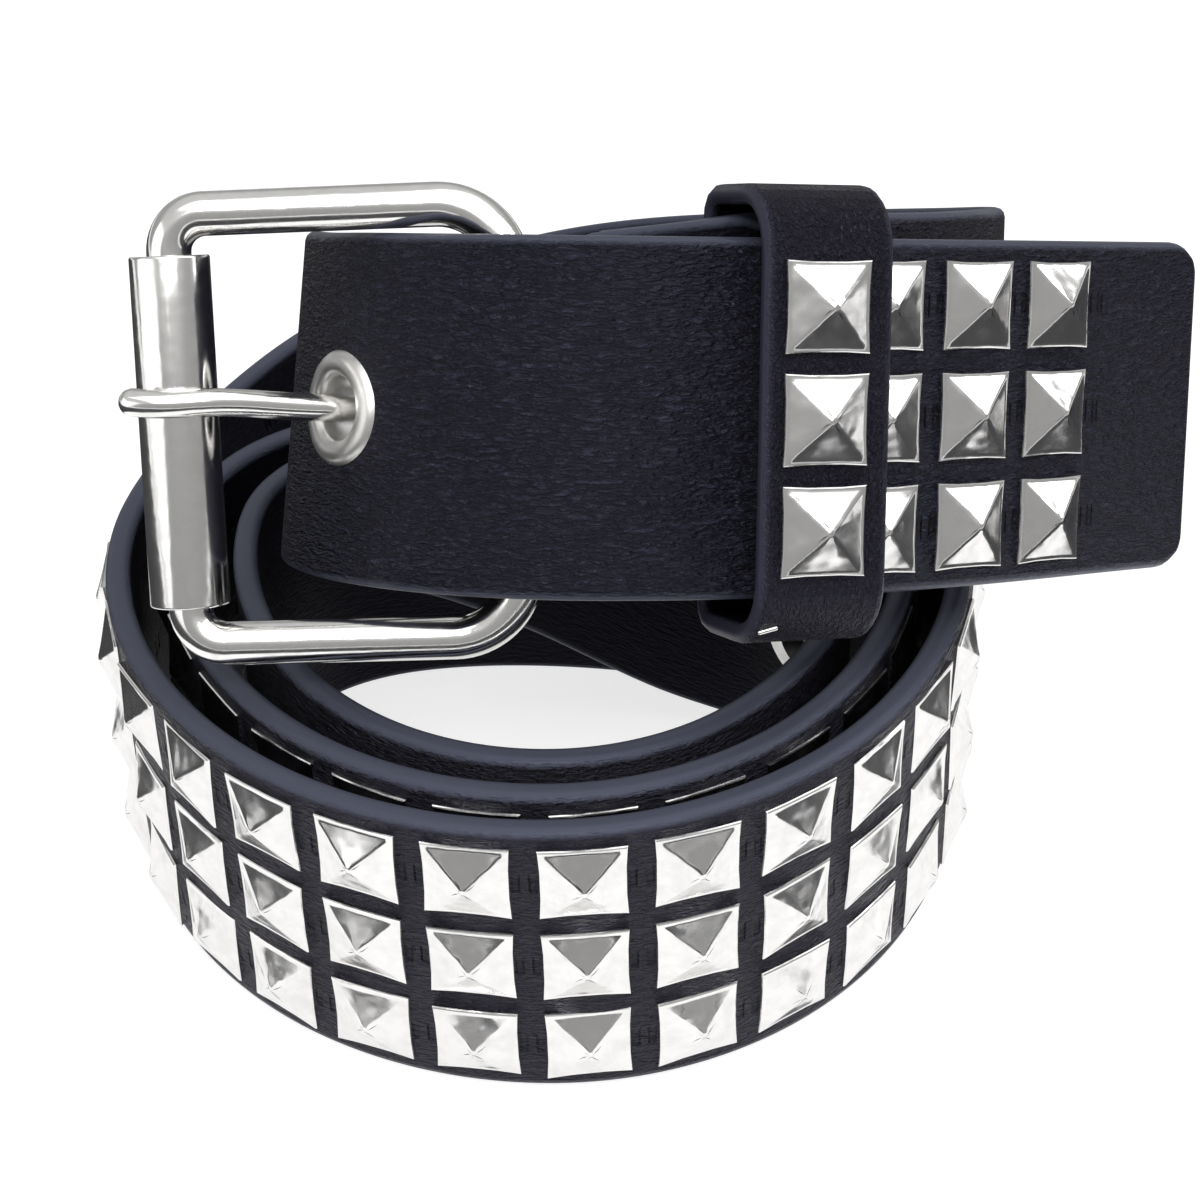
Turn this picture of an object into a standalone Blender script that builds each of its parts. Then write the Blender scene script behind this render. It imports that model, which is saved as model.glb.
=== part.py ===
"""A studded belt, buckled and wound up: three turns stand on the floor, and the buckled loop lies tilted on top.

The strap is cut flat, punched and studded, and then wound along its route. Flat, x runs along the strap from the
folded end to the tip, y across it from its lower edge to its upper one, and z is the grain side, which faces out.
"""

import math

import bmesh
import bpy
import numpy as np
from mathutils import Matrix, Vector

# The strap
STRAP_WIDTH = 0.0377
STRAP_THICKNESS = 0.0030
FLAP_THICKNESS = 0.0022
FACET_SAG = 0.00015
LONGEST_FACET = 0.009
FLAP_POINT = 0.0085
FLAP_POINT_LENGTH = 0.017
TIP_CORNER = 0.0042
LAYER_GAP = 0.0005
FIT_GAP = 0.0003
SAME_PLACE = 1e-6

# The studs
STUD_SIDE = 0.0095
STUD_HEIGHT = 0.0025
STUD_RIM = 0.0004
ROWS = 3
EDGE_MARGIN = 0.0022
COLUMN_GAP = 0.0025
COLUMN_OFFSET = -0.0098
FIELD_START_TURN = 118
FIELD_END_TURN = 905

# The turns that stand on the floor, measured to the strap's middle line at the first front pass
COIL_FRONT = 0.0545
COIL_BACK = 0.0314
COIL_LEFT = 0.0516
COIL_RIGHT = 0.0488
COIL_BACK_SHIFT = 0.012
FRONT_CLEARANCE = 0.00025
BACK_CLEARANCE = 0.0007
LEFT_CLEARANCE = 0.0021
RIGHT_CLEARANCE = 0.0010
COIL_START_TURN = 285
COIL_END_TURN = 1165
COIL_TURN_STEP = 20

# The buckled loop: it leans back, and its front stands clear above the turns
LOOP_TILT = math.radians(28.2)
LOOP_ROLL = math.radians(1.9)
LOOP_SIDE_LEAN = math.radians(6.5)
LOOP_LIFT = 0.0182
LOOP_DROP = 0.45 * STRAP_WIDTH
LOOP_FRONT = 0.0319
LOOP_DEPTH = 0.0845
LOOP_REACH = 0.0508
TAIL_REACH = 0.0738

# The buckle
WIRE = 0.0048
BUCKLE_SPAN = 0.0364
BUCKLE_WINDOW = 0.0414
BUCKLE_TURN = math.radians(4)
BUCKLE_LEAN = math.radians(-1.0)
BUCKLE_DROP = 0.0008
HEEL_ACROSS = -0.0064
HEEL_CORNER = 0.0076
ROLLER_CORNER = 0.0040
ROLLER_DIAMETER = 0.0086
PRONG_WIRE = 0.0030
PRONG_EYE_WIRE = 0.0020
PRONG_OVERHANG = 0.0048
PRONG_RISE = 0.0034
PRONG_TIP_SLOPE = 0.1
PRONG_EYE_START = math.radians(50)
PRONG_EYE_END = math.radians(270)
SLOT_LENGTH = 0.0245
SLOT_CLEARANCE = 0.0008

# The eyelets
EYELET_HOLE = 0.0070
EYELET_WALL = 0.0005
EYELET_FLANGE = 0.0125
EYELET_CROWN = 0.0006
EYELET_ACROSS = -0.0218
EYELET_PITCH = 0.025
EYELET_COUNT = 6

# The keeper
KEEPER_WIDTH = 0.0144
KEEPER_THICKNESS = 0.0022
KEEPER_ACROSS = 0.0266
KEEPER_LEAN = math.radians(1.9)
KEEPER_STUD_PITCH = 0.0115
KEEPER_STUD_SHIFT = -0.0004
KEEPER_SIDE_GAP = 0.0025
KEEPER_RISE = 0.0028
KEEPER_CORNER = 0.0034
KEEPER_BEND = 0.0070

# The studs by the tip
TIP_COLUMNS = 3
TIP_MARGIN = 0.0188

COLUMN_PITCH = STUD_SIDE + COLUMN_GAP
ROW_PITCH = (STRAP_WIDTH - 2 * EDGE_MARGIN - STUD_SIDE) / (ROWS - 1)
TURN_DEPTH = STRAP_THICKNESS + STUD_HEIGHT
LOOP_HEIGHT = STRAP_WIDTH + LOOP_LIFT + LOOP_DROP
KEEPER_SIDE_LEAN = 0.5 * LOOP_SIDE_LEAN
RIGHT_END_SIDE_LEAN = 0.3 * LOOP_SIDE_LEAN
FOLD_WAIST = 2 * WIRE
FOLD_SHOULDER = 3.5 * WIRE

# How finely the curved lines are followed
FOLD_ROWS = 7
TAIL_ROWS = 15
TAIL_STEPS = 600
ROUTE_STEPS = 6000
PRONG_STEPS = 30
PRONG_EYE_STEPS = 13

# Where along the strap its landmarks lie, as shares of its whole length
FOLD_WITHIN = (0, 0.1)
FRONT_PASS_WITHIN = (0.22, 0.62)
FIELD_STARTS_AFTER = 0.1
FIELD_ENDS_AFTER_FRONT = 0.27

# The grain side of the buckled tail in the loop's tilted plane: shares of TAIL_REACH, LOOP_DEPTH
# and LOOP_SIDE_LEAN
TAIL_LINE = (
    ("left bend", -0.406, 0.341, 1.00),
    ("left bend", -0.377, 0.250, 1.00),
    ("buckle hole", -0.325, 0.168, 0.95),
    ("left of the middle", -0.237, 0.088, 0.85),
    ("left of the middle", -0.145, 0.037, 0.75),
    ("heel bar", -0.044, 0.008, 0.65),
    ("middle", 0.058, 0.000, 0.55),
    ("middle", 0.160, 0.010, 0.50),
    ("before the keeper", 0.262, 0.028, 0.50),
    ("keeper", 0.368, 0.058, 0.50),
    ("after the keeper", 0.475, 0.100, 0.50),
    ("tip studs", 0.581, 0.155, 0.50),
    ("tip studs", 0.698, 0.225, 0.50),
    ("bare tip", 0.824, 0.310, 0.50),
    ("tip", 1.000, 0.427, 0.50),
)

# The strap's own way from the keeper round the loop's right end: shares of LOOP_REACH, LOOP_DEPTH and KEEPER_RISE
RIGHT_END = (
    ("leaving the tail", 0.807, 0.266, 1.05, 1.0),
    ("right bend", 0.955, 0.390, 1.25, 1.0),
    ("right end", 1.000, 0.538, 1.40, 0.97),
    ("right end", 0.945, 0.698, 1.40, 0.95),
    ("back bend", 0.787, 0.840, 1.35, 0.92),
    ("back", 0.551, 0.941, 1.20, 0.89),
    ("back", 0.256, 1.000, 0.90, 0.85),
)

# Down from the loop's back to the first turn: shares of COIL_LEFT, LOOP_DEPTH, LOOP_HEIGHT above the coil, LOOP_TILT
DESCENT = (
    ("back", -0.08, 0.550, 0.215, 0.66),
    ("back left", -0.39, 0.527, 0.132, 0.44),
    ("back left", -0.68, 0.438, 0.063, 0.24),
    ("left", -0.895, 0.290, 0.020, 0.09),
    ("left", -1.012, 0.130, 0.001, 0.02),
)

# Up from the innermost turn to the tail's left bend, in the same shares
RISE = (
    ("right", 0.525, 0.078, 0.010, 0.10),
    ("back right", 0.345, 0.130, 0.060, 0.20),
    ("back", 0.117, 0.160, 0.195, 0.34),
    ("back", -0.117, 0.152, 0.350, 0.52),
    ("back left", -0.331, 0.112, 0.484, 0.74),
    ("left bend", -0.486, 0.024, 0.642, 0.92),
)


def clear_scene():
    for obj in list(bpy.data.objects):
        bpy.data.objects.remove(obj, do_unlink=True)


def material(name, color, roughness, metallic):
    made = bpy.data.materials.new(name)
    made.use_nodes = True
    shader = made.node_tree.nodes["Principled BSDF"]
    shader.inputs["Base Color"].default_value = (*color, 1.0)
    shader.inputs["Roughness"].default_value = roughness
    shader.inputs["Metallic"].default_value = metallic
    return made


def add_object(name, mesh, finish):
    obj = bpy.data.objects.new(name, mesh)
    bpy.context.scene.collection.objects.link(obj)
    obj.data.materials.append(finish)
    return obj


def finish_mesh(bm, name):
    bmesh.ops.recalc_face_normals(bm, faces=bm.faces)
    mesh = bpy.data.meshes.new(name)
    bm.to_mesh(mesh)
    bm.free()
    return mesh


def smooth_through(points, count):
    """Points evenly spaced along a natural cubic spline through the given ones, with any further columns carried."""
    points = np.asarray(points, float)
    steps = np.linalg.norm(np.diff(points[:, :3], axis=0), axis=1)
    knots = np.concatenate([[0], np.cumsum(steps)])
    size = len(points)
    system = np.eye(size)
    right = np.zeros_like(points)
    for i in range(1, size - 1):
        before, after = steps[i - 1], steps[i]
        system[i, i - 1 : i + 2] = before / 6, (before + after) / 3, after / 6
        right[i] = (points[i + 1] - points[i]) / after - (points[i] - points[i - 1]) / before
    bend = np.linalg.solve(system, right)
    at = np.linspace(0, knots[-1], count)
    span = np.clip(np.searchsorted(knots, at, side="right") - 1, 0, size - 2)
    width = steps[span]
    low = ((knots[span + 1] - at) / width)[:, None]
    high = 1 - low
    square = (width**2)[:, None] / 6
    curve = low * points[span] + high * points[span + 1]
    return curve + ((low**3 - low) * bend[span] + (high**3 - high) * bend[span + 1]) * square


def width_direction(lean, side):
    """The direction across the strap, from its lower edge to its upper one, leaning back and to the side."""
    return np.array([math.sin(side), math.sin(lean) * math.cos(side), math.cos(lean) * math.cos(side)])


def loop_point(across, depth, rise=0.0):
    """A point given in the plane of the tilted loop, whose zero is the middle of the tail's grain side in front."""
    back = np.array([0, math.cos(LOOP_TILT), -math.sin(LOOP_TILT)])
    up = np.array([0, math.sin(LOOP_TILT), math.cos(LOOP_TILT)])
    sideways = np.array([math.cos(LOOP_ROLL), 0, 0]) - math.sin(LOOP_ROLL) * up
    return np.array([0, -LOOP_FRONT, LOOP_HEIGHT]) + across * sideways + depth * back + rise * up


def coil_point(turn):
    """The strap's middle line in the turns on the floor: an oval of four quarter ellipses that shrinks as it winds."""
    wound = turn / 360 - 1
    across, ahead = math.sin(math.radians(turn)), math.cos(math.radians(turn))
    if across > 0:
        half_width = COIL_RIGHT - (TURN_DEPTH + RIGHT_CLEARANCE) * wound
    else:
        half_width = COIL_LEFT - (TURN_DEPTH + LEFT_CLEARANCE) * wound
    if ahead > 0:
        half_depth = COIL_FRONT - (TURN_DEPTH + FRONT_CLEARANCE) * wound
    else:
        half_depth = COIL_BACK - (TURN_DEPTH + BACK_CLEARANCE) * wound
    shift = COIL_BACK_SHIFT * min(0, ahead) ** 2
    return np.array([half_width * across - shift, -half_depth * ahead, STRAP_WIDTH / 2])


class TailLine:
    """The tail's grain side in the loop's plane, and what lies at a set depth behind it."""

    def __init__(self):
        rows = [(across * TAIL_REACH, depth * LOOP_DEPTH, 0, lean) for _, across, depth, lean in TAIL_LINE]
        line = smooth_through(rows, TAIL_STEPS)
        self.points, self.leans = line[:, :2], line[:, 3] * LOOP_SIDE_LEAN
        self.lengths = np.concatenate([[0], np.cumsum(np.linalg.norm(np.diff(self.points, axis=0), axis=1))])

    def length_at(self, across):
        return self.lengths[np.argmin(abs(self.points[:, 0] - across))]

    def at(self, length, behind=0.0):
        """(point, direction) at this length along the line, and at this depth behind the grain side."""
        point = np.array([np.interp(length, self.lengths, self.points[:, i]) for i in (0, 1)])
        ahead = np.array([np.interp(length + 0.001, self.lengths, self.points[:, i]) for i in (0, 1)])
        back = np.array([np.interp(length - 0.001, self.lengths, self.points[:, i]) for i in (0, 1)])
        direction = (ahead - back) / np.linalg.norm(ahead - back)
        return point + behind * np.array([-direction[1], direction[0]]), direction


TAIL = TailLine()
HEEL_LENGTH = TAIL.length_at(HEEL_ACROSS)
KEEPER_LENGTH = TAIL.length_at(KEEPER_ACROSS)
FLAP_BEHIND = STRAP_THICKNESS + LAYER_GAP + FLAP_THICKNESS / 2
HEEL_BEHIND = STRAP_THICKNESS + LAYER_GAP + FLAP_THICKNESS + FIT_GAP + WIRE / 2
OWN_BEHIND = STRAP_THICKNESS + LAYER_GAP + FLAP_THICKNESS + LAYER_GAP + STRAP_THICKNESS / 2
HEEL, HEEL_ALONG = TAIL.at(HEEL_LENGTH, HEEL_BEHIND)
FLAP_END_LENGTH = KEEPER_LENGTH + KEEPER_WIDTH / 2 + FLAP_POINT_LENGTH * 0.4


def fold_row(length, behind):
    """A row beside the tail: by the heel bar it leans as the buckle does, and by the keeper as the tail does."""
    point, _ = TAIL.at(length, behind)
    share = np.interp(length, [HEEL_LENGTH + 2 * WIRE, KEEPER_LENGTH], [0, 1])
    lean = BUCKLE_LEAN + share * (KEEPER_SIDE_LEAN - BUCKLE_LEAN)
    return (*loop_point(*point, share * KEEPER_RISE), LOOP_TILT, lean)


def fold_rows():
    """From the flap's end, leftwards between tail and strap, round the heel bar and back behind it to the keeper."""
    flap = np.linspace(FLAP_END_LENGTH, HEEL_LENGTH + WIRE, FOLD_ROWS)
    rows = [fold_row(length, FLAP_BEHIND) for length in flap]
    across = np.array([HEEL_ALONG[0], HEEL_ALONG[1]])
    behind = np.array([-HEEL_ALONG[1], HEEL_ALONG[0]])
    for angle in np.linspace(0, math.pi, FOLD_ROWS):
        radius = WIRE / 2 + FIT_GAP * (1 + angle / math.pi) + leather_at_fold(angle / math.pi) / 2
        point = HEEL - across * radius * math.sin(angle) - behind * radius * math.cos(angle)
        rows.append((*loop_point(*point), LOOP_TILT, BUCKLE_LEAN))
    settled = HEEL_LENGTH + 4 * WIRE
    ends = KEEPER_LENGTH + KEEPER_WIDTH / 2
    return rows + [fold_row(length, OWN_BEHIND) for length in np.linspace(settled, ends, FOLD_ROWS // 2 + 1)]


def leather_at_fold(share):
    return FLAP_THICKNESS + (STRAP_THICKNESS - FLAP_THICKNESS) * share


def route_rows():
    """(x, y, z, lean, side lean) of the strap's middle line from the flap's end to the tip."""
    rows = fold_rows()
    for _, across, depth, rise, lean in RIGHT_END:
        point = loop_point(across * LOOP_REACH, depth * LOOP_DEPTH, rise * KEEPER_RISE)
        rows.append((*point, lean * LOOP_TILT, RIGHT_END_SIDE_LEAN))
    low = STRAP_WIDTH / 2
    for _, across, depth, lift, lean in DESCENT:
        place = (across * COIL_LEFT, depth * LOOP_DEPTH, low + lift * (LOOP_HEIGHT - low))
        rows.append((*place, lean * LOOP_TILT, 0))
    for turn in range(COIL_START_TURN, COIL_END_TURN, COIL_TURN_STEP):
        rows.append((*coil_point(turn), 0, 0))
    for _, across, depth, lift, lean in RISE:
        place = (across * COIL_LEFT, depth * LOOP_DEPTH, low + lift * (LOOP_HEIGHT - low))
        rows.append((*place, lean * LOOP_TILT, lean * LOOP_SIDE_LEAN))
    for length in np.linspace(0, TAIL.lengths[-1], TAIL_ROWS):
        point, _ = TAIL.at(length, STRAP_THICKNESS / 2)
        side = np.interp(length, TAIL.lengths, TAIL.leans)
        rows.append((*loop_point(*point), LOOP_TILT, side))
    return rows


class Route:
    """The strap's middle line, and how a point of the flat strap lies on it."""

    def __init__(self, rows):
        path = smooth_through(rows, ROUTE_STEPS)
        path[:, 2] = np.maximum(path[:, 2], STRAP_WIDTH / 2)
        self.points = path[:, :3]
        steps = np.linalg.norm(np.diff(self.points, axis=0), axis=1)
        self.lengths = np.concatenate([[0], np.cumsum(steps)])
        along = np.gradient(self.points, axis=0)
        along /= np.linalg.norm(along, axis=1)[:, None]
        up = np.array([width_direction(lean, side) for lean, side in path[:, 3:]])
        out = np.cross(along, up)
        out /= np.linalg.norm(out, axis=1)[:, None]
        self.along, self.out, self.up = along, out, np.cross(out, along)
        bends = np.linalg.norm(np.gradient(along, axis=0), axis=1) / np.gradient(self.lengths)
        self.bends = np.convolve(np.pad(bends, 20, mode="edge"), np.ones(41) / 41, mode="valid")
        self.total = self.lengths[-1]

    def read(self, values, length):
        return np.array([np.interp(length, self.lengths, values[:, i]) for i in range(3)])

    def place(self, length, across=0.0, out=0.0):
        middle = self.read(self.points, length)
        return middle + across * self.read(self.up, length) + out * self.read(self.out, length)

    def matrix(self, length, across=0.0, out=0.0):
        axes = [self.read(values, length) for values in (self.along, self.up, self.out)]
        turned = Matrix([list(column) for column in zip(*axes)]).to_4x4()
        return Matrix.Translation(Vector(self.place(length, across, out))) @ turned

    def nearest(self, point, after, before):
        """The length at which the strap passes nearest to a point, between two shares of its whole length."""
        inside = (self.lengths > after * self.total) & (self.lengths < before * self.total)
        apart = np.linalg.norm(self.points - point, axis=1)
        return self.lengths[np.argmin(np.where(inside, apart, np.inf))]

    def step(self, length):
        bend = max(np.interp(length, self.lengths, self.bends), 1e-3)
        return min(LONGEST_FACET, math.sqrt(8 * FACET_SAG / bend))


ROUTE = Route(route_rows())
FOLD_LENGTH = ROUTE.nearest(loop_point(*(HEEL - np.array(HEEL_ALONG) * WIRE)), *FOLD_WITHIN)
FRONT_PASS = ROUTE.nearest(coil_point(360), *FRONT_PASS_WITHIN)
TAIL_START = ROUTE.total - TAIL.lengths[-1]


def half_width(length):
    """Half the strap's width: the flap ends in a blunt point, and the fold is narrower to pass the buckle's corners."""
    folded = (BUCKLE_WINDOW + WIRE) / 2 - HEEL_CORNER
    point = STRAP_WIDTH / 2 - FLAP_POINT * max(0, 1 - length / FLAP_POINT_LENGTH)
    waist = np.interp(abs(length - FOLD_LENGTH), [FOLD_WAIST, FOLD_SHOULDER], [folded, STRAP_WIDTH / 2])
    return min(point, waist)


def thickness(length):
    share = np.interp(length, [FOLD_LENGTH - WIRE, FOLD_LENGTH + WIRE], [0, 1])
    return leather_at_fold(share)


def stud_rows():
    return [(row - (ROWS - 1) / 2) * ROW_PITCH for row in range(ROWS)]


def field_columns():
    """Where the studs of the long field lie along the strap, counted from the one by the first front pass."""
    front = FRONT_PASS / ROUTE.total
    first = ROUTE.nearest(coil_point(FIELD_START_TURN), FIELD_STARTS_AFTER, front)
    after = front + FIELD_ENDS_AFTER_FRONT
    last = ROUTE.nearest(coil_point(FIELD_END_TURN), after, TAIL_START / ROUTE.total)
    zero = FRONT_PASS + COLUMN_OFFSET
    low = math.ceil((first - zero) / COLUMN_PITCH)
    high = math.floor((last - zero) / COLUMN_PITCH)
    return [zero + column * COLUMN_PITCH for column in range(low, high + 1)]


def cut_lengths(columns):
    """Where the flat strap is divided: at both sides of each column of studs, and elsewhere as its bends need."""
    edges = [column + side * STUD_SIDE / 2 for column in columns for side in (-1, 1)]
    by_eyelets = [length + side * EYELET_FLANGE / 2 for length in eyelet_lengths() for side in (-1, -0.3, 0.3, 1)]
    round_the_bar = list(FOLD_LENGTH + np.linspace(-2, 2, 13) * WIRE)
    fixed = sorted(edges + by_eyelets + round_the_bar)
    cuts = [0.0]
    while cuts[-1] < ROUTE.total:
        here = cuts[-1]
        after = here + ROUTE.step(here)
        coming = [edge for edge in fixed if edge > here + SAME_PLACE]
        if coming and (coming[0] < after or edges[0] - SAME_PLACE <= here < edges[-1] - SAME_PLACE):
            after = coming[0]
        cuts.append(min(after, ROUTE.total))
    return cuts


def cross_section(bm, length):
    half, thick = half_width(length), thickness(length)
    corners = ((-half, -thick / 2), (half, -thick / 2), (half, thick / 2), (-half, thick / 2))
    return [bm.verts.new((length, across, out)) for across, out in corners]


def flat_strap(columns):
    """The strap before it is wound, with its studs standing on its grain side."""
    bm = bmesh.new()
    cuts = cut_lengths(columns)
    sections = [cross_section(bm, length) for length in cuts]
    bm.faces.new(sections[0])
    bm.faces.new(sections[-1][::-1])
    for before, after in zip(sections, sections[1:]):
        for i in range(4):
            j = (i + 1) % 4
            bm.faces.new((before[i], before[j], after[j], after[i]))
    bmesh.ops.recalc_face_normals(bm, faces=bm.faces)
    corners = [
        edge for edge in bm.edges
        if all(abs(vert.co.x - ROUTE.total) < SAME_PLACE for vert in edge.verts)
        and abs(edge.verts[0].co.y - edge.verts[1].co.y) < SAME_PLACE
    ]
    bmesh.ops.bevel(bm, geom=corners, offset=TIP_CORNER, segments=3, profile=0.5, affect="EDGES")
    first, last = columns[0] - STUD_SIDE / 2, columns[-1] + STUD_SIDE / 2
    for row in stud_rows():
        for side in (-1, 1):
            field = [
                face for face in bm.faces
                if face.normal.z > 0.9 and first < face.calc_center_median().x < last
            ]
            geom = field + list({edge for face in field for edge in face.edges})
            geom += list({vert for face in field for vert in face.verts})
            line = (0, row + side * STUD_SIDE / 2, 0)
            bmesh.ops.bisect_plane(bm, geom=geom, plane_co=line, plane_no=(0, 1, 0), dist=1e-7)
    raise_studs(bm, columns)
    return finish_mesh(bm, "strap")


def raise_studs(bm, columns):
    """Raises each stud's square to its rim and then to its point."""
    rows = stud_rows()
    squares = []
    for face in bm.faces:
        middle = face.calc_center_median()
        near = min(columns, key=lambda column: abs(column - middle.x))
        level = min(rows, key=lambda row: abs(row - middle.y))
        if face.normal.z > 0.9 and abs(middle.x - near) < 1e-5 and abs(middle.y - level) < 1e-5:
            squares.append(face)
    risen = bmesh.ops.extrude_discrete_faces(bm, faces=squares)["faces"]
    bmesh.ops.translate(bm, verts=list({v for face in risen for v in face.verts}), vec=(0, 0, STUD_RIM))
    points = bmesh.ops.poke(bm, faces=risen)["verts"]
    bmesh.ops.translate(bm, verts=points, vec=(0, 0, STUD_HEIGHT - STUD_RIM))


def punch(obj, cutters):
    """Cuts the holes out of the flat strap."""
    for cutter in cutters:
        cut = obj.modifiers.new("hole", "BOOLEAN")
        cut.operation = "DIFFERENCE"
        cut.object = cutter
        cutter.hide_render = True
        cutter.display_type = "WIRE"
    bpy.context.view_layer.update()
    graph = bpy.context.evaluated_depsgraph_get()
    punched = bpy.data.meshes.new_from_object(obj.evaluated_get(graph))
    obj.modifiers.clear()
    obj.data = punched
    for cutter in cutters:
        bpy.data.objects.remove(cutter, do_unlink=True)


def hole_cutter(length, diameter, steel):
    bm = bmesh.new()
    bmesh.ops.create_cone(
        bm, cap_ends=True, segments=16, radius1=diameter / 2, radius2=diameter / 2, depth=4 * STRAP_THICKNESS
    )
    bmesh.ops.translate(bm, verts=bm.verts, vec=(length, 0, 0))
    return add_object("cutter", finish_mesh(bm, "cutter"), steel)


def slot_cutter(steel):
    bm = bmesh.new()
    bmesh.ops.create_cube(bm, size=1)
    width = PRONG_WIRE + 2 * SLOT_CLEARANCE
    bmesh.ops.scale(bm, verts=bm.verts, vec=(SLOT_LENGTH, width, 4 * STRAP_THICKNESS))
    bmesh.ops.translate(bm, verts=bm.verts, vec=(FOLD_LENGTH, -BUCKLE_DROP, 0))
    return add_object("cutter", finish_mesh(bm, "cutter"), steel)


def wind(mesh):
    """Lays a flat mesh along the strap's route."""
    bm = bmesh.new()
    bm.from_mesh(mesh)
    bmesh.ops.triangulate(bm, faces=bm.faces)
    for vert in bm.verts:
        vert.co = ROUTE.place(vert.co.x, vert.co.y, vert.co.z)
    bm.to_mesh(mesh)
    bm.free()


def eyelet_lengths():
    used = TAIL_START + TAIL.length_at(EYELET_ACROSS)
    return [used - number * EYELET_PITCH for number in range(EYELET_COUNT)]


def make_strap(leather, steel):
    columns = field_columns()
    strap = add_object("strap", flat_strap(columns), leather)
    bore = EYELET_HOLE + 2 * (EYELET_WALL + 1.6 * FIT_GAP)
    cutters = [hole_cutter(length, bore, steel) for length in eyelet_lengths()]
    punch(strap, cutters + [slot_cutter(steel)])
    wind(strap.data)
    strap.data.shade_smooth()
    strap.data.set_sharp_from_angle(angle=math.radians(20))


def turned(profile, sides, name):
    """A ring: a closed outline of (radius, height) spun round Z."""
    bm = bmesh.new()
    verts = [bm.verts.new((radius, 0, height)) for radius, height in profile]
    edges = [bm.edges.new((verts[i - 1], verts[i])) for i in range(len(verts))]
    bmesh.ops.spin(
        bm, geom=verts + edges, cent=(0, 0, 0), axis=(0, 0, 1), angle=2 * math.pi, steps=sides, use_merge=True
    )
    bmesh.ops.remove_doubles(bm, verts=bm.verts, dist=SAME_PLACE)
    return finish_mesh(bm, name)


def make_eyelets(nickel):
    """Each eyelet has a crowned flange on the grain side and a flat one inside, and follows the strap's bend."""
    face, hole = STRAP_THICKNESS / 2 + FIT_GAP, EYELET_HOLE / 2
    wall, rim = hole + EYELET_WALL, EYELET_FLANGE / 2
    profile = (
        (hole, -face - EYELET_WALL), (rim - EYELET_WALL, -face - EYELET_WALL), (rim - EYELET_WALL, -face),
        (wall, -face), (wall, face), (rim, face), (rim - EYELET_CROWN / 2, face + EYELET_CROWN * 0.7),
        ((hole + rim) / 2, face + EYELET_CROWN), (hole + EYELET_WALL / 2, face + EYELET_CROWN * 0.6), (hole, face),
    )
    for number, length in enumerate(eyelet_lengths()):
        mesh = turned(profile, 18, "eyelet")
        for vert in mesh.vertices:
            vert.co = ROUTE.place(length + vert.co.x, vert.co.y, vert.co.z)
        eyelet = add_object(f"eyelet_{number + 1}", mesh, nickel)
        eyelet.data.shade_smooth()
        eyelet.data.set_sharp_from_angle(angle=math.radians(40))


def wire_object(name, points, diameter, finish, cyclic=False, radii=None, sides=4):
    curve = bpy.data.curves.new(name, "CURVE")
    curve.dimensions = "3D"
    curve.bevel_depth = diameter / 2
    curve.bevel_resolution = sides
    curve.use_fill_caps = True
    line = curve.splines.new("POLY")
    line.points.add(len(points) - 1)
    for i, point in enumerate(points):
        line.points[i].co = (*point, 1)
        line.points[i].radius = 1 if radii is None else radii[i]
    line.use_cyclic_u = cyclic
    line.use_smooth = True
    return add_object(name, curve, finish)


def buckle_axes():
    """Where the buckle lies: from the heel bar towards the roller, up along the bars, and out of its face."""
    back = loop_point(0, 1) - loop_point(0, 0)
    sideways = loop_point(1, 0) - loop_point(0, 0)
    up = width_direction(LOOP_TILT, BUCKLE_LEAN)
    towards = math.sin(BUCKLE_TURN) * back - math.cos(BUCKLE_TURN) * sideways
    towards -= (towards @ up) * up
    towards /= np.linalg.norm(towards)
    return towards, up, np.cross(up, towards)


def buckle_point(towards, up):
    axes = buckle_axes()
    return loop_point(*HEEL) + towards * axes[0] + (up - BUCKLE_DROP) * axes[1]


def corner(centre, radius, start, steps=6):
    angles = np.radians(np.linspace(start, start + 90, steps))
    return [(centre[0] + radius * math.cos(a), centre[1] + radius * math.sin(a)) for a in angles]


def make_buckle_frame(nickel):
    half = (BUCKLE_WINDOW + WIRE) / 2
    heel, roller = HEEL_CORNER, ROLLER_CORNER
    outline = corner((BUCKLE_SPAN - roller, half - roller), roller, 0)
    outline += corner((heel, half - heel), heel, 90)
    outline += corner((heel, heel - half), heel, 180)
    outline += corner((BUCKLE_SPAN - roller, roller - half), roller, 270)
    points = [buckle_point(towards, up) for towards, up in outline]
    wire_object("buckle_frame", points, WIRE, nickel, cyclic=True)


def make_roller(nickel):
    """A tube that turns freely on the buckle's outer bar."""
    half = (BUCKLE_WINDOW + WIRE) / 2 - ROLLER_CORNER - FIT_GAP
    bore, outside = WIRE / 2 + FIT_GAP, ROLLER_DIAMETER / 2
    edge = (outside - bore) / 4
    profile = (
        (bore, -half), (outside - edge, -half), (outside, edge - half),
        (outside, half - edge), (outside - edge, half), (bore, half),
    )
    roller = add_object("roller", turned(profile, 28, "roller"), nickel)
    towards, up, out = buckle_axes()
    turned_to = Matrix([list(column) for column in zip(towards, np.cross(up, towards), up)]).to_4x4()
    roller.matrix_world = Matrix.Translation(Vector(buckle_point(BUCKLE_SPAN, 0))) @ turned_to
    roller.data.shade_smooth()
    roller.data.set_sharp_from_angle(angle=math.radians(30))


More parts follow.
